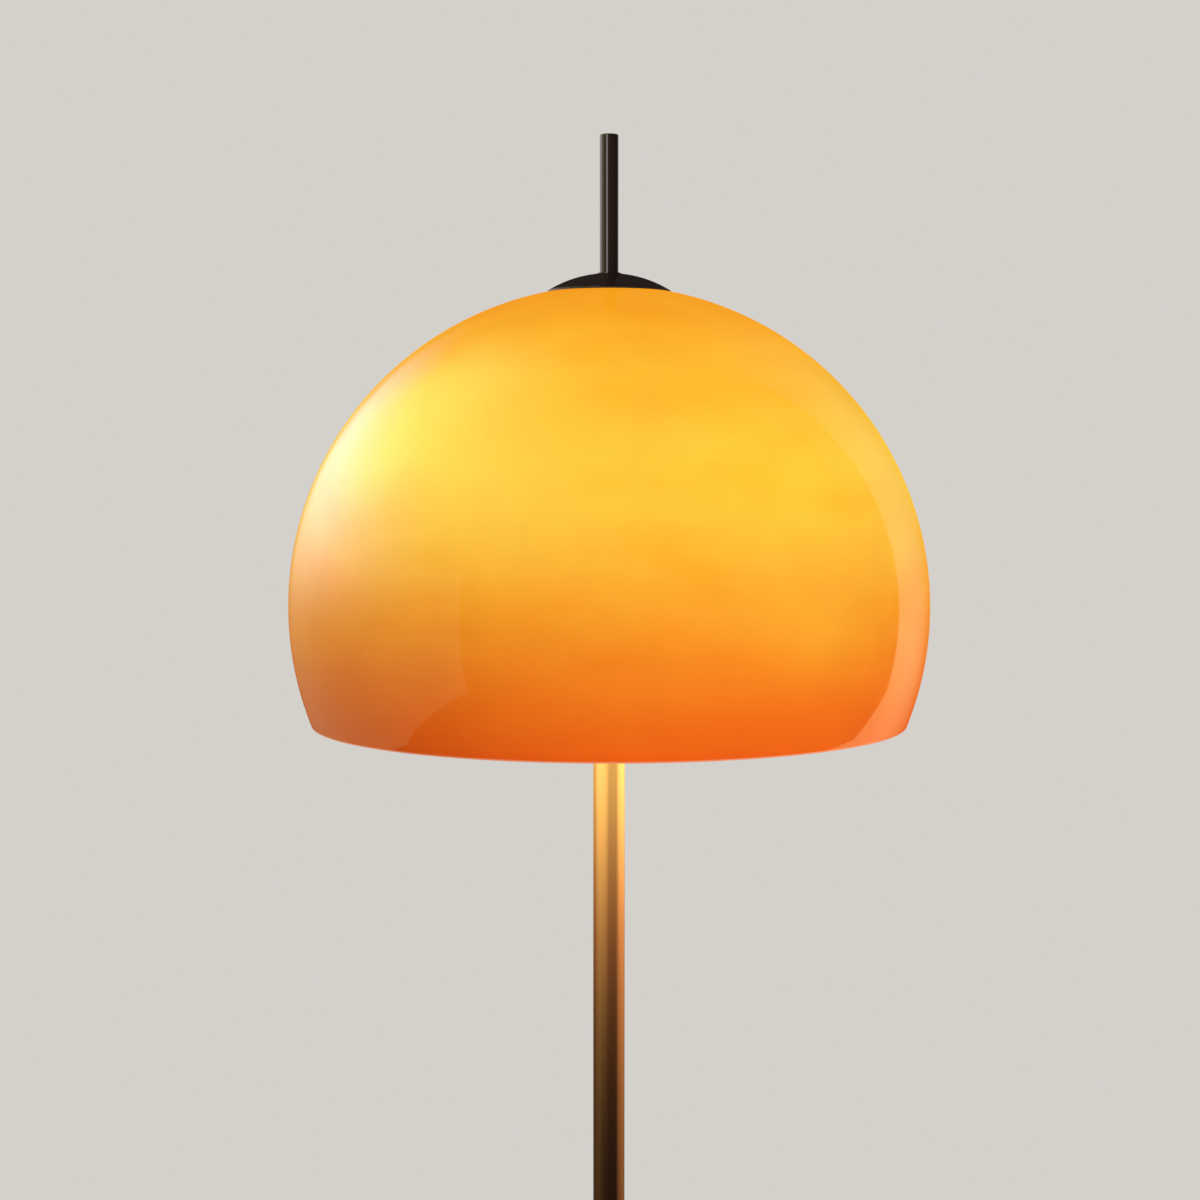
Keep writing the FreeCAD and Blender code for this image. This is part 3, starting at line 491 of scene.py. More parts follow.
def moulded(name, shade, roughness, scale=1100.0, depth=0.03, gloss=0.0):
    """Moulded plastic, rubber or ceramic with a fine skin."""
    finish = Finish(name)
    skin = finish.noise(scale, 2.0, 0.55)
    cloud = finish.noise(30.0, 3.0)
    return finish.surface({
        "Base Color": finish.mix(cloud, tinted(shade, 0.88), tinted(shade, 1.05)),
        "Roughness": roughness + cloud * 0.1,
        "Specular Tint": (0.62, 0.50, 0.78, 1.0),
        "Coat Weight": gloss,
        "Coat Roughness": 0.08,
        "Normal": finish.bump(skin, depth * MM, 0.5),
    })


def opal():
    """Opal glass lit from within, warmer and deeper towards its neck."""
    finish = Finish("opal_glass")
    cloud = finish.noise(40.0, 2.0)
    globe = finish.mix(cloud, (1.0, 0.80, 0.46), (1.0, 0.84, 0.52))
    upper = finish.step(finish.axes()[2], 1.284, 1.346)
    return finish.surface({
        "Base Color": finish.mix(cloud, (0.36, 0.33, 0.28), (0.42, 0.39, 0.34)),
        "Roughness": 0.20 + cloud * 0.06,
        "Coat Weight": 0.5,
        "Emission Color": finish.mix(upper, (0.90, 0.46, 0.15), globe),
        "Emission Strength": 0.84,
    })


def frame_finishes():
    """The finish of each material slot of the frame."""
    return {
        "black_lacquer": lacquer("black_lacquer", (0.011, 0.0075, 0.006)),
        "black_powder_coat": powder("black_powder_coat", (0.020, 0.017, 0.016)),
        "cast_iron": moulded("cast_iron", (0.028, 0.028, 0.028), 0.62, 380.0, 0.12),
        "zinc_steel": metal("zinc_steel", (0.62, 0.62, 0.60), 0.26),
        "white_lacquer": moulded("white_lacquer", (0.80, 0.78, 0.74), 0.30, 700.0, 0.02, 0.4),
        "black_rubber": moulded("black_rubber", (0.018, 0.018, 0.018), 0.72, 500.0, 0.05),
        "black_plastic": moulded("black_plastic", (0.022, 0.021, 0.021), 0.42, 900.0, 0.04),
        "cream_plastic": moulded("cream_plastic", (0.66, 0.60, 0.45), 0.45),
        "socket_ceramic": moulded("socket_ceramic", (0.78, 0.76, 0.71), 0.40, 600.0, 0.03),
        "brass": metal("brass", (0.70, 0.50, 0.20), 0.30),
        "lead_sheath": moulded("lead_sheath", (0.70, 0.70, 0.67), 0.42),
        "bulb_base": metal("bulb_base", (0.72, 0.72, 0.71), 0.28, 500.0),
        "opal_glass": opal(),
    }


# ---- mesh tools ----
def corners(points, steps=5):
    """An outline of (radius, height, smooth) from corner to corner.

    A third number rounds its corner by that radius, and "curve" marks a point that the
    surface passes through smoothly.
    """
    outline = []
    for i, point in enumerate(points):
        kind = point[2] if len(point) > 2 else 0.0
        here = Vector(point[:2])
        if kind == "curve" or kind == 0.0:
            outline.append((*here, kind == "curve"))
            continue
        back = (Vector(points[i - 1][:2]) - here).normalized()
        on = (Vector(points[(i + 1) % len(points)][:2]) - here).normalized()
        half = back.angle(on) / 2
        centre = here + (back + on).normalized() * (kind / math.sin(half))
        first = here + back * (kind / math.tan(half)) - centre
        last = here + on * (kind / math.tan(half)) - centre
        start = math.atan2(first.y, first.x)
        sweep = math.remainder(math.atan2(last.y, last.x) - start, math.tau)
        for k in range(steps + 1):
            a = start + sweep * k / steps
            spot = centre + kind * Vector((math.cos(a), math.sin(a)))
            outline.append((*spot, 0 < k < steps))
    return outline


def arc(radius, middle, start, end, steps):
    """Points of a circle about (0, middle), by angles from straight up, ends included."""
    points = []
    for k in range(steps + 1):
        a = start + (end - start) * k / steps
        spot = (radius * math.sin(a), middle + radius * math.cos(a))
        points.append((*spot, "curve") if 0 < k < steps else spot)
    return points


def turned(name, outline, around, material, place=None):
    """A closed mesh: the outline turned about the vertical, with true normals."""
    count = len(outline)
    ends = list(zip(outline, outline[1:] + outline[:1]))
    if sum(a[0] * b[1] - b[0] * a[1] for a, b in ends) < 0:
        outline = outline[::-1]
        ends = list(zip(outline, outline[1:] + outline[:1]))
    runs = []
    for a, b in ends:
        run = Vector((b[1] - a[1], a[0] - b[0]))
        runs.append(None if max(a[0], b[0]) < 1e-7 or run.length < 1e-9 else run.normalized())
    turns = [(math.cos(math.tau * j / around), math.sin(math.tau * j / around)) for j in range(around)]
    verts, rings = [], []
    for radius, height, _ in outline:
        if radius < 1e-7:
            rings.append([len(verts)] * around)
            verts.append((0.0, 0.0, height))
        else:
            rings.append(list(range(len(verts), len(verts) + around)))
            verts += [(radius * c, radius * s, height) for c, s in turns]

    def normal_at(i, run, neighbour):
        joined = outline[i][2] and neighbour is not None
        return (run + neighbour).normalized() if joined else run

    faces, normals = [], []
    for i, run in enumerate(runs):
        if run is None:
            continue
        k = (i + 1) % count
        first = normal_at(i, run, runs[i - 1])
        last = normal_at(k, run, runs[k])
        for j in range(around):
            n = (j + 1) % around
            face = []
            for vert, aim, t in (
                (rings[i][j], first, j), (rings[i][n], first, n),
                (rings[k][n], last, n), (rings[k][j], last, j),
            ):
                if vert not in face:
                    face.append(vert)
                    normals.append((aim.x * turns[t][0], aim.x * turns[t][1], aim.y))
            faces.append(face)
    mesh = bpy.data.meshes.new(name)
    mesh.from_pydata(verts, [], faces)
    mesh.polygons.foreach_set("use_smooth", [True] * len(faces))
    mesh.normals_split_custom_set(normals)
    mesh.materials.append(material)
    if place is not None:
        mesh.transform(place)
    return shown(name, mesh)


def shown(name, mesh):
    """Puts a mesh in the scene as an object."""
    made = bpy.data.objects.new(name, mesh)
    bpy.context.scene.collection.objects.link(made)
    return made


def settle(made, body, slot, *nodes):
    """The piece rides on a body and stands for nodes of the frame, which it hides. The slot is not
    used.
    """
    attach(made, body)
    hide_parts(*nodes)
    return made


class Builder(Graph):
    """A geometry tree with named inputs, whose result is kept as a plain mesh."""

    kinds = {float: "NodeSocketFloat", int: "NodeSocketInt"}

    def __init__(self, name, values):
        super().__init__(bpy.data.node_groups.new(name, "GeometryNodeTree"))
        self.values = values
        self.sockets = {}
        for label, value in values.items():
            kind = self.kinds.get(type(value), "NodeSocketMaterial")
            made = self.tree.interface.new_socket(label, in_out="INPUT", socket_type=kind)
            self.sockets[label] = made.identifier
        self.tree.interface.new_socket(
            "Geometry", in_out="OUTPUT", socket_type="NodeSocketGeometry"
        )
        self.inputs = self.node("NodeGroupInput")

    def made(self, name, geometry):
        """Ends the tree, runs it on a new object and keeps the mesh that comes out."""
        real = self.node("GeometryNodeRealizeInstances", None, {"Geometry": geometry})
        done = self.node(
            "GeometryNodeSetMaterial", None, {"Geometry": real, "Material": self.inputs["Material"]}
        )
        self.node("NodeGroupOutput", None, {0: done})
        holder = shown(name + "_builder", bpy.data.meshes.new(name))
        modifier = holder.modifiers.new("Build", "NODES")
        modifier.node_group = self.tree
        for label, value in self.values.items():
            modifier[self.sockets[label]] = value
        bpy.context.view_layer.update()
        ready = holder.evaluated_get(bpy.context.evaluated_depsgraph_get())
        mesh = bpy.data.meshes.new_from_object(ready)
        holder.modifiers.remove(modifier)
        bpy.data.objects.remove(holder)
        if not mesh.polygons:
            raise RuntimeError(name + " came out empty")
        mesh.name = name
        return shown(name, mesh)


# ---- shade ----
def shade_mesh(settings, equator, material):
    """Turns the shade's wall about the axis: down outside, round the rim and up inside."""
    g = Builder("Domed shade", {
        "Radius": settings.radius,
        "Wall": settings.wall,
        "Hole": settings.hole,
        "Equator": equator,
        "Rim": settings.rim,
        "Around": settings.around,
        "Rings": settings.rings,
        "Rim Steps": 8,
        "Material": material,
    })
    wall, rings, steps = g.inputs["Wall"], g.inputs["Rings"], g.inputs["Rim Steps"]
    middle = g.inputs["Radius"] - wall / 2
    rows = rings * 2 + steps + 2
    columns = g.inputs["Around"] + 1
    grid = g.node("GeometryNodeMeshGrid", None, {"Vertices X": columns, "Vertices Y": rows}, "Mesh")
    index = g.node("GeometryNodeInputIndex")
    column = g.maths("FLOOR", (index + 0.5) / rows)
    row = g.maths("MODULO", index - column * rows, rows - 1)
    top = g.maths("ARCSINE", g.inputs["Hole"] / middle)
    rim = g.maths("ARCCOSINE", (g.inputs["Rim"] + wall / 2 - g.inputs["Equator"]) / middle)
    away = g.maths("ABSOLUTE", row - rings - steps / 2) - steps / 2
    lean = rim - (rim - top) * g.maths("MAXIMUM", away, 0.0) / rings
    fold = g.maths("MINIMUM", g.maths("MAXIMUM", (row - rings) / steps, 0.0), 1.0) * math.pi
    sine, cosine = g.maths("SINE", lean), g.maths("COSINE", lean)
    out, along = g.maths("COSINE", fold) * wall / 2, g.maths("SINE", fold) * wall / 2
    radius = (middle + out) * sine + along * cosine
    height = (middle + out) * cosine - along * sine + g.inputs["Equator"]
    angle = column * math.tau / g.inputs["Around"]
    place = g.node("ShaderNodeCombineXYZ", None, {
        "X": radius * g.maths("COSINE", angle),
        "Y": radius * g.maths("SINE", angle),
        "Z": height,
    })
    placed = g.node("GeometryNodeSetPosition", None, {"Geometry": grid, "Position": place})
    merged = g.node("GeometryNodeMergeByDistance", None, {"Geometry": placed, "Distance": 1e-6})
    smooth = g.node("GeometryNodeSetShadeSmooth", None, {"Geometry": merged})
    return g.made("shade_dome", smooth)


class LAMP_OT_shade(bpy.types.Operator):
    """Make the domed acrylic shade"""

    bl_idname = "lamp.shade"
    bl_label = "Shade"

    def execute(self, context):
        settings = context.scene.lamp_shade
        equator = SHADE_HIGH.z - math.sqrt(settings.radius ** 2 - settings.hole ** 2)
        dome = shade_mesh(settings, equator, acrylic(settings, equator))
        settle(dome, "shade", "shade_acrylic", "shade")
        return {"FINISHED"}


# ---- cap and finial ----
class LAMP_OT_finial(bpy.types.Operator):
    """Make the black cap, its washer and the finial rod"""

    bl_idname = "lamp.finial"
    bl_label = "Cap and Finial"

    def execute(self, context):
        s = context.scene.lamp_finial
        black = lacquer("black_lacquer_polished", s.lacquer[:])
        rise, radius = s.cap_rise, s.cap_radius
        dome = (radius ** 2 + rise ** 2) / (2 * rise)
        middle = CAP_HIGH.z - math.sqrt(dome ** 2 - s.cap_flat ** 2)
        edge = math.asin(radius / dome)
        flat = math.asin(s.cap_flat / dome)
        inner = dome - s.cap_wall
        inner_edge = math.asin((radius - s.cap_wall) / inner)
        inner_flat = math.acos((CAP_HIGH.z - s.cap_wall - middle) / inner)
        cap = corners([
            (s.bore, CAP_HIGH.z, 0.2 * MM),
            *arc(dome, middle, flat, edge, 40)[:-1],
            (radius, middle + dome * math.cos(edge), 0.25 * MM),
            (radius - 0.5 * MM, CAP_LOW.z),
            (radius - s.cap_wall, CAP_LOW.z + 0.2 * MM),
            *arc(inner, middle, inner_edge, inner_flat, 32)[1:],
            (s.bore, CAP_HIGH.z - s.cap_wall),
        ])
        settle(turned("cap_dome", cap, s.around, black), "shade", "black_lacquer", "top_cap")
        seat = WASHER_HIGH.z - 0.02 * MM
        washer = corners([
            (WASHER_HIGH.x, WASHER_LOW.z, 0.15 * MM), (WASHER_HIGH.x, seat, 0.25 * MM),
            (s.bore, seat), (s.bore, WASHER_LOW.z),
        ])
        made = turned("finial_ring", washer, s.around, black)
        settle(made, "finial_washer", "black_lacquer", "finial_washer")
        top, bottom = ROD_HIGH.z, ROD_LOW.z
        hole = bottom + s.rod_hole
        rod = corners([
            (0.0, top), (s.rod_radius, top, s.rod_edge), (s.rod_radius, bottom, 0.3 * MM),
            (s.bore, bottom), (s.bore, hole), (0.0, hole),
        ], 7)
        made = turned("finial_bar", rod, s.around, black)
        settle(made, "finial_rod", "black_lacquer", "finial_rod")
        return {"FINISHED"}


# ---- pole ----
class LAMP_OT_pole(bpy.types.Operator):
    """Make the two tubes of the pole"""

    bl_idname = "lamp.pole"
    bl_label = "Pole"

    def execute(self, context):
        s = context.scene.lamp_pole
        satin = satin_pole(s, SHADE_LOW.z)
        bore = s.radius - s.wall
        for name, node, low, high in (
            ("pole_lower_tube", "pole_lower", LOWER_LOW.z, LOWER_HIGH.z),
            ("pole_upper_tube", "pole_upper", UPPER_LOW.z, UPPER_HIGH.z),
        ):
            outline = corners([
                (s.radius, low, s.edge), (s.radius, high, s.edge), (bore, high), (bore, low),
            ])
            made = turned(name, outline, s.around, satin)
            settle(made, "stand", "black_powder_coat", node)
        return {"FINISHED"}


# ---- lights ----
# Heights along a light's own axis, from the face of the hub.
CUP_LOW = 3.0 * MM
CUP_FLOOR = 6.0 * MM
CUP_HIGH = 21.0 * MM
RIBS_LOW = 24.0 * MM
RIBS_HIGH = 47.0 * MM
BARREL_HIGH = 57.0 * MM
CONTACT_LOW = 30.3 * MM
SCREW_LOW = 32.6 * MM
SCREW_HIGH = 57.8 * MM
GLOBE_MIDDLE = 105.3 * MM


def threaded(name, sizes, material):
    """A closed rod with a screw thread: its radius falls and rises along a helix."""
    g = Builder("Threaded rod", {**sizes, "Around": 48, "Rows Per Turn": 10, "Material": material})
    pitch, around = g.inputs["Pitch"], g.inputs["Around"]
    span = g.inputs["High"] - g.inputs["Low"]
    rows = g.maths("CEIL", span / pitch * g.inputs["Rows Per Turn"]) + 3
    grid = g.node("GeometryNodeMeshGrid", None, {"Vertices X": around + 1, "Vertices Y": rows}, "Mesh")
    index = g.node("GeometryNodeInputIndex")
    column = g.maths("FLOOR", (index + 0.5) / rows)
    row = index - column * rows
    share = g.maths("MINIMUM", g.maths("MAXIMUM", (row - 1) / (rows - 3), 0.0), 1.0)
    height = g.inputs["Low"] + span * share
    ends = g.maths("MINIMUM", row, rows - 1 - row)
    turn = column / around
    groove = g.maths("COSINE", (height / pitch - turn) * math.tau) * 0.5 + 0.5
    near_end = g.maths("MINIMUM", height - g.inputs["Low"], g.inputs["High"] - height)
    lead_in = 1.0 - g.maths("MINIMUM", near_end / (pitch * 0.4), 1.0)
    depth = g.inputs["Depth"] * g.maths("MAXIMUM", groove, lead_in)
    radius = (g.inputs["Radius"] - depth) * g.maths("MINIMUM", ends, 1.0)
    place = g.node("ShaderNodeCombineXYZ", None, {
        "X": radius * g.maths("COSINE", -turn * math.tau),
        "Y": radius * g.maths("SINE", -turn * math.tau),
        "Z": height,
    })
    placed = g.node("GeometryNodeSetPosition", None, {"Geometry": grid, "Position": place})
    merged = g.node("GeometryNodeMergeByDistance", None, {"Geometry": placed, "Distance": 1e-6})
    smooth = g.node("GeometryNodeSetShadeSmooth", None, {"Geometry": merged})
    return g.made(name, smooth)


def socket_ribs(name, s, material):
    """Round ribs set side by side about the socket, half sunk in its wall."""
    g = Builder("Socket ribs", {
        "Count": s.ribs, "Barrel": s.barrel, "Rib": s.rib, "Low": RIBS_LOW, "High": RIBS_HIGH,
        "Material": material,
    })
    rib = g.inputs["Rib"]
    ring = g.node("GeometryNodeMeshCircle", None, {
        "Vertices": g.inputs["Count"], "Radius": g.inputs["Barrel"] - rib * 0.45,
    }, "Mesh")
    bar = g.node("GeometryNodeMeshCylinder", None, {
        "Vertices": 10, "Radius": rib, "Depth": g.inputs["High"] - g.inputs["Low"],
    }, "Mesh")
    soft = g.node("GeometryNodeSetShadeSmooth", None, {"Geometry": bar})
    many = g.node("GeometryNodeInstanceOnPoints", None, {"Points": ring, "Instance": soft})
    middle = g.node("ShaderNodeCombineXYZ", None, {"Z": (g.inputs["High"] + g.inputs["Low"]) / 2})
    raised = g.node("GeometryNodeTransform", None, {"Geometry": many, "Translation": middle})
    return g.made(name, raised)


def on_light(s, light):
    """The place of a light: a piece made along +Z goes on its leaning axis."""
    turn = Matrix.Rotation(math.radians(120.0 * light - 90.0), 4, "Z")
    start = Matrix.Translation((s.start_radius, 0.0, s.start_height))
    return turn @ start @ Matrix.Rotation(s.lean, 4, "Y")


def bulb_outline(s):
    """Both sides of the glass: neck, flare, globe, and back inside."""
    def side(inset):
        radius, narrow = s.globe - inset, s.bulb_neck - inset
        flare = GLOBE_MIDDLE - SCREW_HIGH
        turn = math.atan2(narrow, flare) + math.acos(radius / math.hypot(narrow, flare))
        ball = arc(radius, GLOBE_MIDDLE, math.pi - turn, 0.0, 30)
        return [(narrow, SCREW_HIGH), (*ball[0], "curve"), *ball[1:]]

    outside, inside = side(0.0), side(s.glass)
    return corners(outside + inside[::-1])


def cup_outline(s):
    """The rounded foot of a socket, open above, with a hole for the arm in its floor."""
    cup = [(s.neck, CUP_LOW)]
    steps = 12
    for k in range(1, steps + 1):
        a = math.pi / 2 * k / steps
        radius = s.neck + (s.barrel - s.neck) * math.sin(a)
        height = CUP_HIGH - (CUP_HIGH - CUP_LOW) * math.cos(a)
        cup.append((radius, height, "curve") if k < steps else (radius, height))
    bore, hole = s.barrel - s.socket_wall, s.arm_hole
    shoulder = bore * math.sin(math.pi / 4) + 2.0 * MM
    cup += [
        (bore, CUP_HIGH), (shoulder, 9.4 * MM), (s.neck - s.socket_wall, CUP_FLOOR),
        (hole, CUP_FLOOR), (hole, CUP_LOW),
    ]
    return corners(cup)


def barrel_outline(s):
    """The straight wall of a socket, with a lip turned in at its mouth."""
    bore, under = s.barrel - s.socket_wall, BARREL_HIGH - s.lip_wall
    return corners([
        (s.barrel, CUP_HIGH, 0.3 * MM), (s.barrel, BARREL_HIGH, 0.7 * MM),
        (s.mouth, BARREL_HIGH, 0.4 * MM), (s.mouth, under), (bore, under), (bore, CUP_HIGH),
    ])


def contact_outline():
    """The cap on the end of a bulb's screw, with the contact in its middle."""
    return corners([
        (0.0, CONTACT_LOW), (4.2 * MM, CONTACT_LOW, 1.0 * MM), (5.0 * MM, 32.0 * MM),
        (11.6 * MM, 32.5 * MM), (11.6 * MM, 33.4 * MM), (0.0, 33.4 * MM),
    ])


def make_stem(s):
    """The stem that holds the shade: a plain bar with its thread left bare at the top."""
    steel = metal("stem_steel", (0.60, 0.60, 0.58), 0.28)
    bare = s.stem_high - s.stem_bare
    root = s.stem - s.stem_thread
    core = corners([
        (0.0, s.stem_low), (s.stem, s.stem_low, 0.4 * MM), (s.stem, bare),
        (root, bare + 0.6 * MM), (root, bare + 1.2 * MM), (0.0, bare + 1.2 * MM),
    ])
    made = turned("stem_bar", core, 48, steel)
    settle(made, "stand", "zinc_steel", "stem_rod")
    made = threaded("stem_thread", {
        "Radius": s.stem, "Depth": s.stem_thread, "Pitch": s.stem_pitch,
        "Low": bare + 0.3 * MM, "High": s.stem_high,
    }, steel)
    settle(made, "stand", "zinc_steel", "stem_rod")


class LAMP_OT_lights(bpy.types.Operator):
    """Make the three bulbs with their screws, the three ribbed sockets and the stem"""

    bl_idname = "lamp.lights"
    bl_label = "Bulbs and Sockets"

    def execute(self, context):
        s = context.scene.lamp_lights
        glass = opal()
        base = metal("bulb_base_rolled", (0.72, 0.72, 0.71), 0.24, 500.0)
        black = moulded("socket_plastic", (0.020, 0.019, 0.018), 0.40, 900.0, 0.04)
        make_stem(s)
        for light in range(3):
            place, tail = on_light(s, light), "_%d" % (light + 1)
            body = "bulb%s_" % tail
            made = turned("bulb_globe" + tail, bulb_outline(s), s.around, glass, place)
            settle(made, body + "glass", "opal_glass", "bulb_glass" + tail)
            made = turned("bulb_contact" + tail, contact_outline(), s.around, base, place)
            settle(made, body + "screw", "bulb_base", "bulb_screw" + tail)
            made = threaded("bulb_thread" + tail, {
                "Radius": s.screw, "Depth": s.thread, "Pitch": s.pitch,
                "Low": SCREW_LOW, "High": SCREW_HIGH,
            }, base)
            made.data.transform(place)
            settle(made, body + "screw", "bulb_base", "bulb_screw" + tail)
            made = turned("socket_cup" + tail, cup_outline(s), s.around, black, place)
            settle(made, "stand", "black_plastic", "socket_cap" + tail)
            made = turned("socket_barrel" + tail, barrel_outline(s), s.around, black, place)
            settle(made, "stand", "black_plastic", "socket_shell" + tail)
            made = socket_ribs("socket_ribs" + tail, s, black)
            made.data.transform(place)
            settle(made, "stand", "black_plastic", "socket_shell" + tail)
        return {"FINISHED"}


# ---- carried-over pieces ----
class LAMP_OT_frame(bpy.types.Operator):
    """Give every piece of the frame that stays its own finish"""

    bl_idname = "lamp.frame"
    bl_label = "Frame Finishes"

    def execute(self, context):
        finishes = frame_finishes()
        for part in frame["record"]["subparts"]:
            piece = frame["nodes"][part["node"]]
            finish = finishes.get(part["material_slot"])
            if finish is None:
                continue
            if not piece.material_slots:
                piece.data.materials.append(finish)
            for slot in piece.material_slots:
                slot.material = finish
        return {"FINISHED"}


# ---- studio ----
FLOOR_RADIUS = 12.0
TENT_RADIUS = 2.3
TENT_FOOT = 0.045
TENT_LOW, TENT_HIGH = -75.0, 89.9


def seen_rays(graph):
    """1 where the camera looks, straight or by way of gloss or glass, and 0 for other light."""
    path = graph.node("ShaderNodeLightPath")
    seen = graph.maths("MAXIMUM", path["Is Camera Ray"], path["Is Glossy Ray"])
    return graph.maths("MAXIMUM", seen, path["Is Transmission Ray"])


def make_world(s):
    """Soft light from all sides, and a pale backdrop where the camera or gloss sees it."""
    world = bpy.data.worlds.new("studio")
    bpy.context.scene.world = world
    world.use_nodes = True
    g = Graph(world.node_tree)
    pale = g.node("ShaderNodeBackground", None, {"Color": opaque(s.backdrop[:]), "Strength": 1.0})
    soft = g.node("ShaderNodeBackground", None, {
        "Color": (1.0, 0.98, 0.95, 1.0), "Strength": s.ambient,
    })
    both = g.node("ShaderNodeMixShader", None, {0: seen_rays(g), 1: soft, 2: pale})
    g.node("ShaderNodeOutputWorld", None, {"Surface": both})


def make_floor(s):
    """A pale floor that takes the lamp's shadow and runs into the backdrop far out."""
    finish = Finish("pale_floor")
    x, y, _ = finish.axes()
    distance = finish.maths("SQRT", x * x + y * y)
    cloud = finish.noise(3.0, 3.0)
    near = finish.node("ShaderNodeBsdfDiffuse", None, {
        "Color": finish.mix(cloud, tinted(s.floor[:], 0.985), tinted(s.floor[:], 1.0)),
    })
    seen = seen_rays(finish)
    far = finish.node("ShaderNodeEmission", None, {
        "Color": opaque(s.backdrop[:]), "Strength": 0.6 + 0.4 * seen,
    })
    blend = finish.node("ShaderNodeMixShader", None, {
        0: finish.step(distance, 1.0, 2.4), 1: near, 2: far,
    })
    finish.node("ShaderNodeOutputMaterial", None, {"Surface": blend})
    rim = []
    for j in range(96):
        a = math.tau * j / 96
        rim.append((FLOOR_RADIUS * math.cos(a), FLOOR_RADIUS * math.sin(a), 0.0))
    mesh = bpy.data.meshes.new("floor")
    mesh.from_pydata(rim, [], [range(len(rim))])
    mesh.materials.append(finish.material)
    shown("floor", mesh)


def direction(azimuth, elevation):
    """A unit vector, by degrees from the camera's side towards +X, and degrees up."""
    a, e = math.radians(azimuth), math.radians(elevation)
    return Vector((math.sin(a) * math.cos(e), -math.cos(a) * math.cos(e), math.sin(e)))


def make_tent(s):
    """A tent about the shade that only gloss shows: dark, with a soft window and a strip in it.

    Its parts are set by azimuth and height in degrees, seen from the middle of the shade.
    """
    centre = Vector((0.0, 0.0, SHADE_HIGH.z - SHADE_HIGH.x))
    g = Finish("tent")
    x, y, z = g.axes()
    out = g.maths("SQRT", x * x + y * y)
    azimuth = g.maths("ARCTAN2", x, -y) * (180.0 / math.pi)
    up = g.maths("ARCTAN2", z - centre.z, out) * (180.0 / math.pi)
    below = g.maths("MAXIMUM", -up - 23.0, 0.0)
    wall = g.step(azimuth + 50.0 + below * 3.3, 0.8, -0.8) * g.step(up, 16.0, 9.0)
    window = g.step(azimuth, -58.0, -130.0) * g.step(azimuth, -166.0, -148.0)
    droop = g.maths("MAXIMUM", -azimuth - 140.0, 0.0) * 0.5
    window = window * g.step(up, -8.0, 22.0) * g.step(up + droop, 46.0, 13.0)
    warm = g.step(azimuth, 13.0, -156.0) * g.step(azimuth, -158.0, -95.0)
    warm = warm * g.step(up, 2.0, 42.0) * g.step(up, 94.0, 30.0)
    lean = g.maths("MAXIMUM", -up - 17.0, 0.0) * 0.7
    strip = g.step(azimuth + lean, 116.6, 118.4) * g.step(azimuth, 165.0, 120.0)
    low = strip * g.step(up, 2.0, -12.0)
    high = strip * g.step(up, -21.0, 6.0) * g.step(up, 74.0, -40.0)
    channels = []
    for i in range(3):
        level = s.tent[i] * (1.0 - wall)
        for part, strength, tints in (
            (wall, s.haze, (1.1, 1.0, 0.53)), (window, s.window, (1.0, 0.82, 1.0)),
            (warm, s.warm, (1.0, 1.0, 0.32)), (low, s.strip, (1.1, 1.05, 0.48)),
            (high, s.strip, (0.9, 1.0, 0.85)),
        ):
            level = level + part * (strength * tints[i])
        channels.append(level)
    shade = g.node("ShaderNodeCombineColor", None, dict(enumerate(channels)), "Color")
    shine = g.node("ShaderNodeEmission", None, {"Color": shade, "Strength": 1.0})
    clear = g.node("ShaderNodeBsdfTransparent")
    blend = g.node("ShaderNodeMixShader", None, {0: g.step(up, -74.0, -66.0), 1: clear, 2: shine})
    g.node("ShaderNodeOutputMaterial", None, {"Surface": blend})
    columns, rows = 72, 40
    verts, faces = [], []
    for i in range(columns):
        for j in range(rows + 1):
            aim = direction(360.0 * i / columns, TENT_LOW + (TENT_HIGH - TENT_LOW) * j / rows)
            reach = min(TENT_RADIUS, (centre.z - TENT_FOOT) / max(-aim.z, 0.01))
            verts.append(centre + reach * aim)
    for i in range(columns):
        for j in range(rows):
            k, n = i * (rows + 1) + j, (i + 1) % columns * (rows + 1) + j
            faces.append((k, k + 1, n + 1, n))
    mesh = bpy.data.meshes.new("tent")
    mesh.from_pydata(verts, [], faces)
    mesh.materials.append(g.material)
    made = shown("tent", mesh)
    made.visible_camera = made.visible_diffuse = made.visible_shadow = False
    made.visible_transmission = False


def make_light(name, place, target, size, power, shade):
    """A round soft lamp that points at the target and doesn't show in gloss."""
    data = bpy.data.lights.new(name, "AREA")
    data.shape = "DISK"
    data.size = size
    data.energy = power
    data.color = shade
    made = bpy.data.objects.new(name, data)
    bpy.context.scene.collection.objects.link(made)
    made.location = place
    made.rotation_euler = (target - place).to_track_quat("-Z", "Y").to_euler()
    made.visible_glossy = False
    return made


def make_slit(power):
    """A narrow upright lamp that lights only the black gloss on top, as one fine line."""
    rod = Vector((0.0, 0.0, ROD_HIGH.z - 0.03))
    place = rod + 1.2 * direction(-26.0, 16.0)
    made = make_light("slit", place, Vector((0.0, 0.0, place.z)), 1.0, power, (1.0, 0.86, 0.84))
    made.data.shape = "RECTANGLE"
    made.data.size = 0.42
    made.data.size_y = 1.1
    made.visible_glossy = True
    made.visible_camera = made.visible_transmission = False
    black = bpy.data.collections.new("black gloss")
    for name in ("finial_bar", "finial_ring", "cap_dome"):
        black.objects.link(bpy.data.objects[name])
    made.light_linking.receiver_collection = black


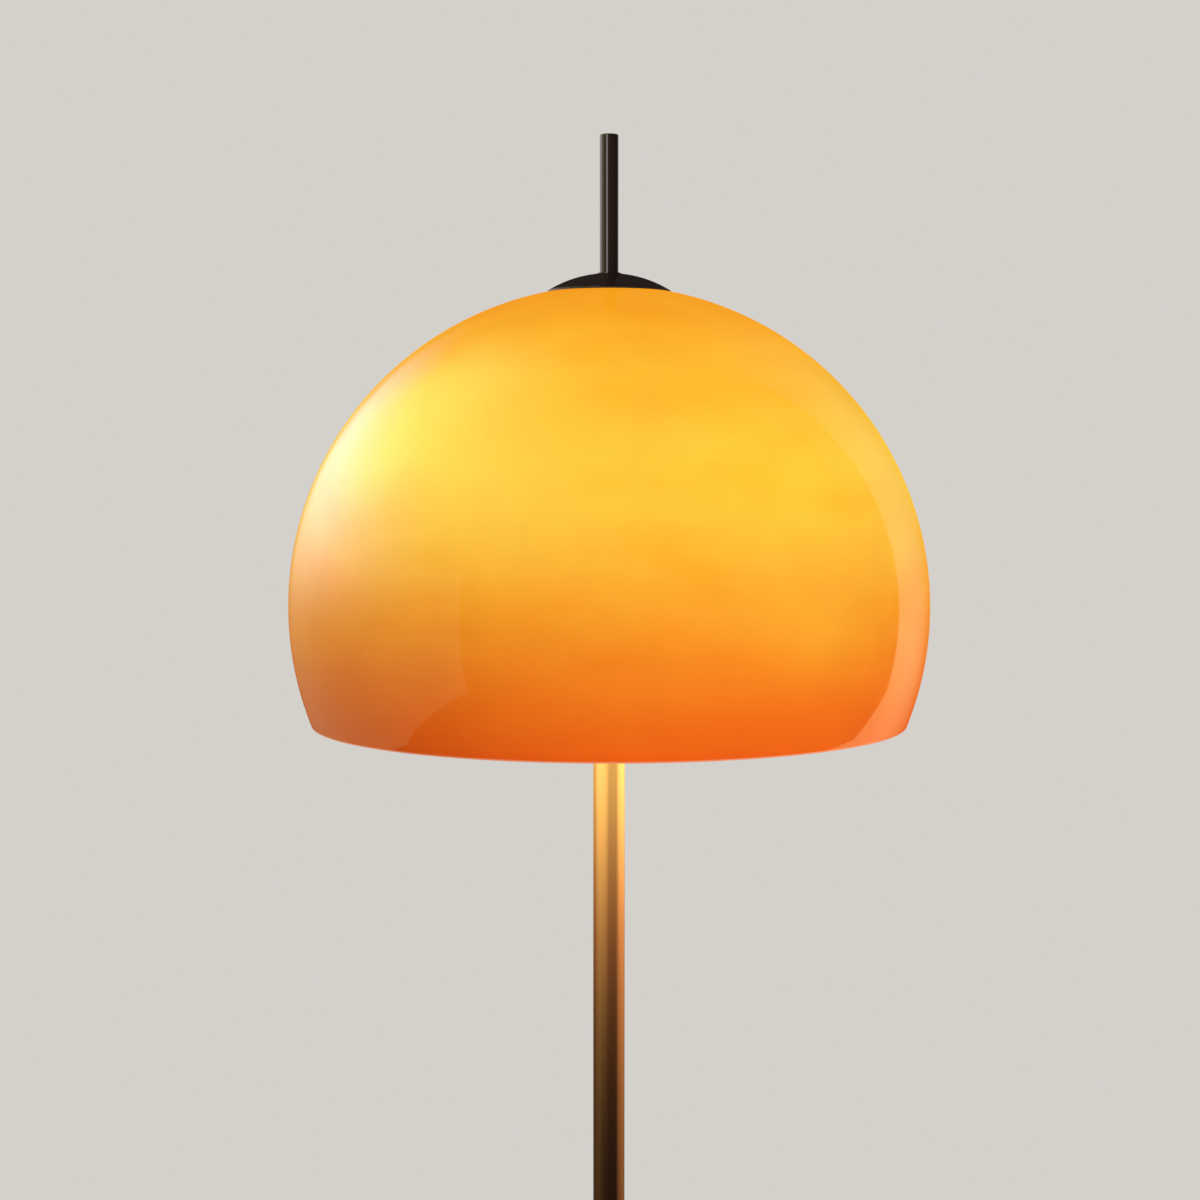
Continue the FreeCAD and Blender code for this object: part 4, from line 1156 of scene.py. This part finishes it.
class LAMP_OT_studio(bpy.types.Operator):
    """Make the pale floor, the backdrop, the lights and the camera"""

    bl_idname = "lamp.studio"
    bl_label = "Studio"

    def execute(self, context):
        s = context.scene.lamp_studio
        make_world(s)
        make_floor(s)
        make_tent(s)
        aim = Vector((0.0, 0.0, 1.0))
        make_light("key", Vector((-1.7, -2.2, 2.5)), aim, 1.5, s.key, (1.0, 0.97, 0.93))
        make_light("fill", Vector((2.3, -1.9, 1.7)), aim, 1.8, s.fill, (1.0, 0.98, 0.96))
        make_light("back", Vector((0.8, 2.6, 2.4)), aim, 1.6, s.back, (1.0, 0.97, 0.93))
        make_slit(s.slit)
        data = bpy.data.cameras.new("camera")
        data.sensor_width = 36.0
        data.lens = 64.97
        camera = bpy.data.objects.new("camera", data)
        context.scene.collection.objects.link(camera)
        camera.location = (0.0, -1.3606, 1.3522)
        camera.rotation_euler = (math.radians(86.14), 0.0, math.radians(0.239))
        context.scene.camera = camera
        context.scene.view_settings.view_transform = "Standard"
        return {"FINISHED"}


class LAMP_PT_panel(bpy.types.Panel):
    """Lists the lamp's pieces and their sizes"""

    bl_idname = "LAMP_PT_panel"
    bl_label = "Floor Lamp"
    bl_space_type = "VIEW_3D"
    bl_region_type = "UI"
    bl_category = "Lamp"

    def draw(self, context):
        for operator, group in STEPS:
            box = self.layout.box()
            box.operator(operator)
            if group is None:
                continue
            settings = getattr(context.scene, group)
            for name in settings.__annotations__:
                box.prop(settings, name)


STEPS = (
    ("lamp.frame", None),
    ("lamp.shade", "lamp_shade"),
    ("lamp.finial", "lamp_finial"),
    ("lamp.pole", "lamp_pole"),
    ("lamp.lights", "lamp_lights"),
    ("lamp.studio", "lamp_studio"),
)
GROUPS = {
    "lamp_studio": StudioSettings,
    "lamp_shade": ShadeSettings,
    "lamp_finial": FinialSettings,
    "lamp_pole": PoleSettings,
    "lamp_lights": LightSettings,
}
CLASSES = (
    *GROUPS.values(),
    LAMP_OT_frame, LAMP_OT_studio, LAMP_OT_shade, LAMP_OT_finial, LAMP_OT_pole, LAMP_OT_lights,
    LAMP_PT_panel,
)


def register():
    for item in CLASSES:
        bpy.utils.register_class(item)
    for name, group in GROUPS.items():
        setattr(bpy.types.Scene, name, PointerProperty(type=group))


def unregister():
    for name in GROUPS:
        delattr(bpy.types.Scene, name)
    for item in reversed(CLASSES):
        bpy.utils.unregister_class(item)


def main():
    register()
    for operator, _ in STEPS:
        group, name = operator.split(".")
        getattr(getattr(bpy.ops, group), name)()


if __name__ == "__main__":
    main()
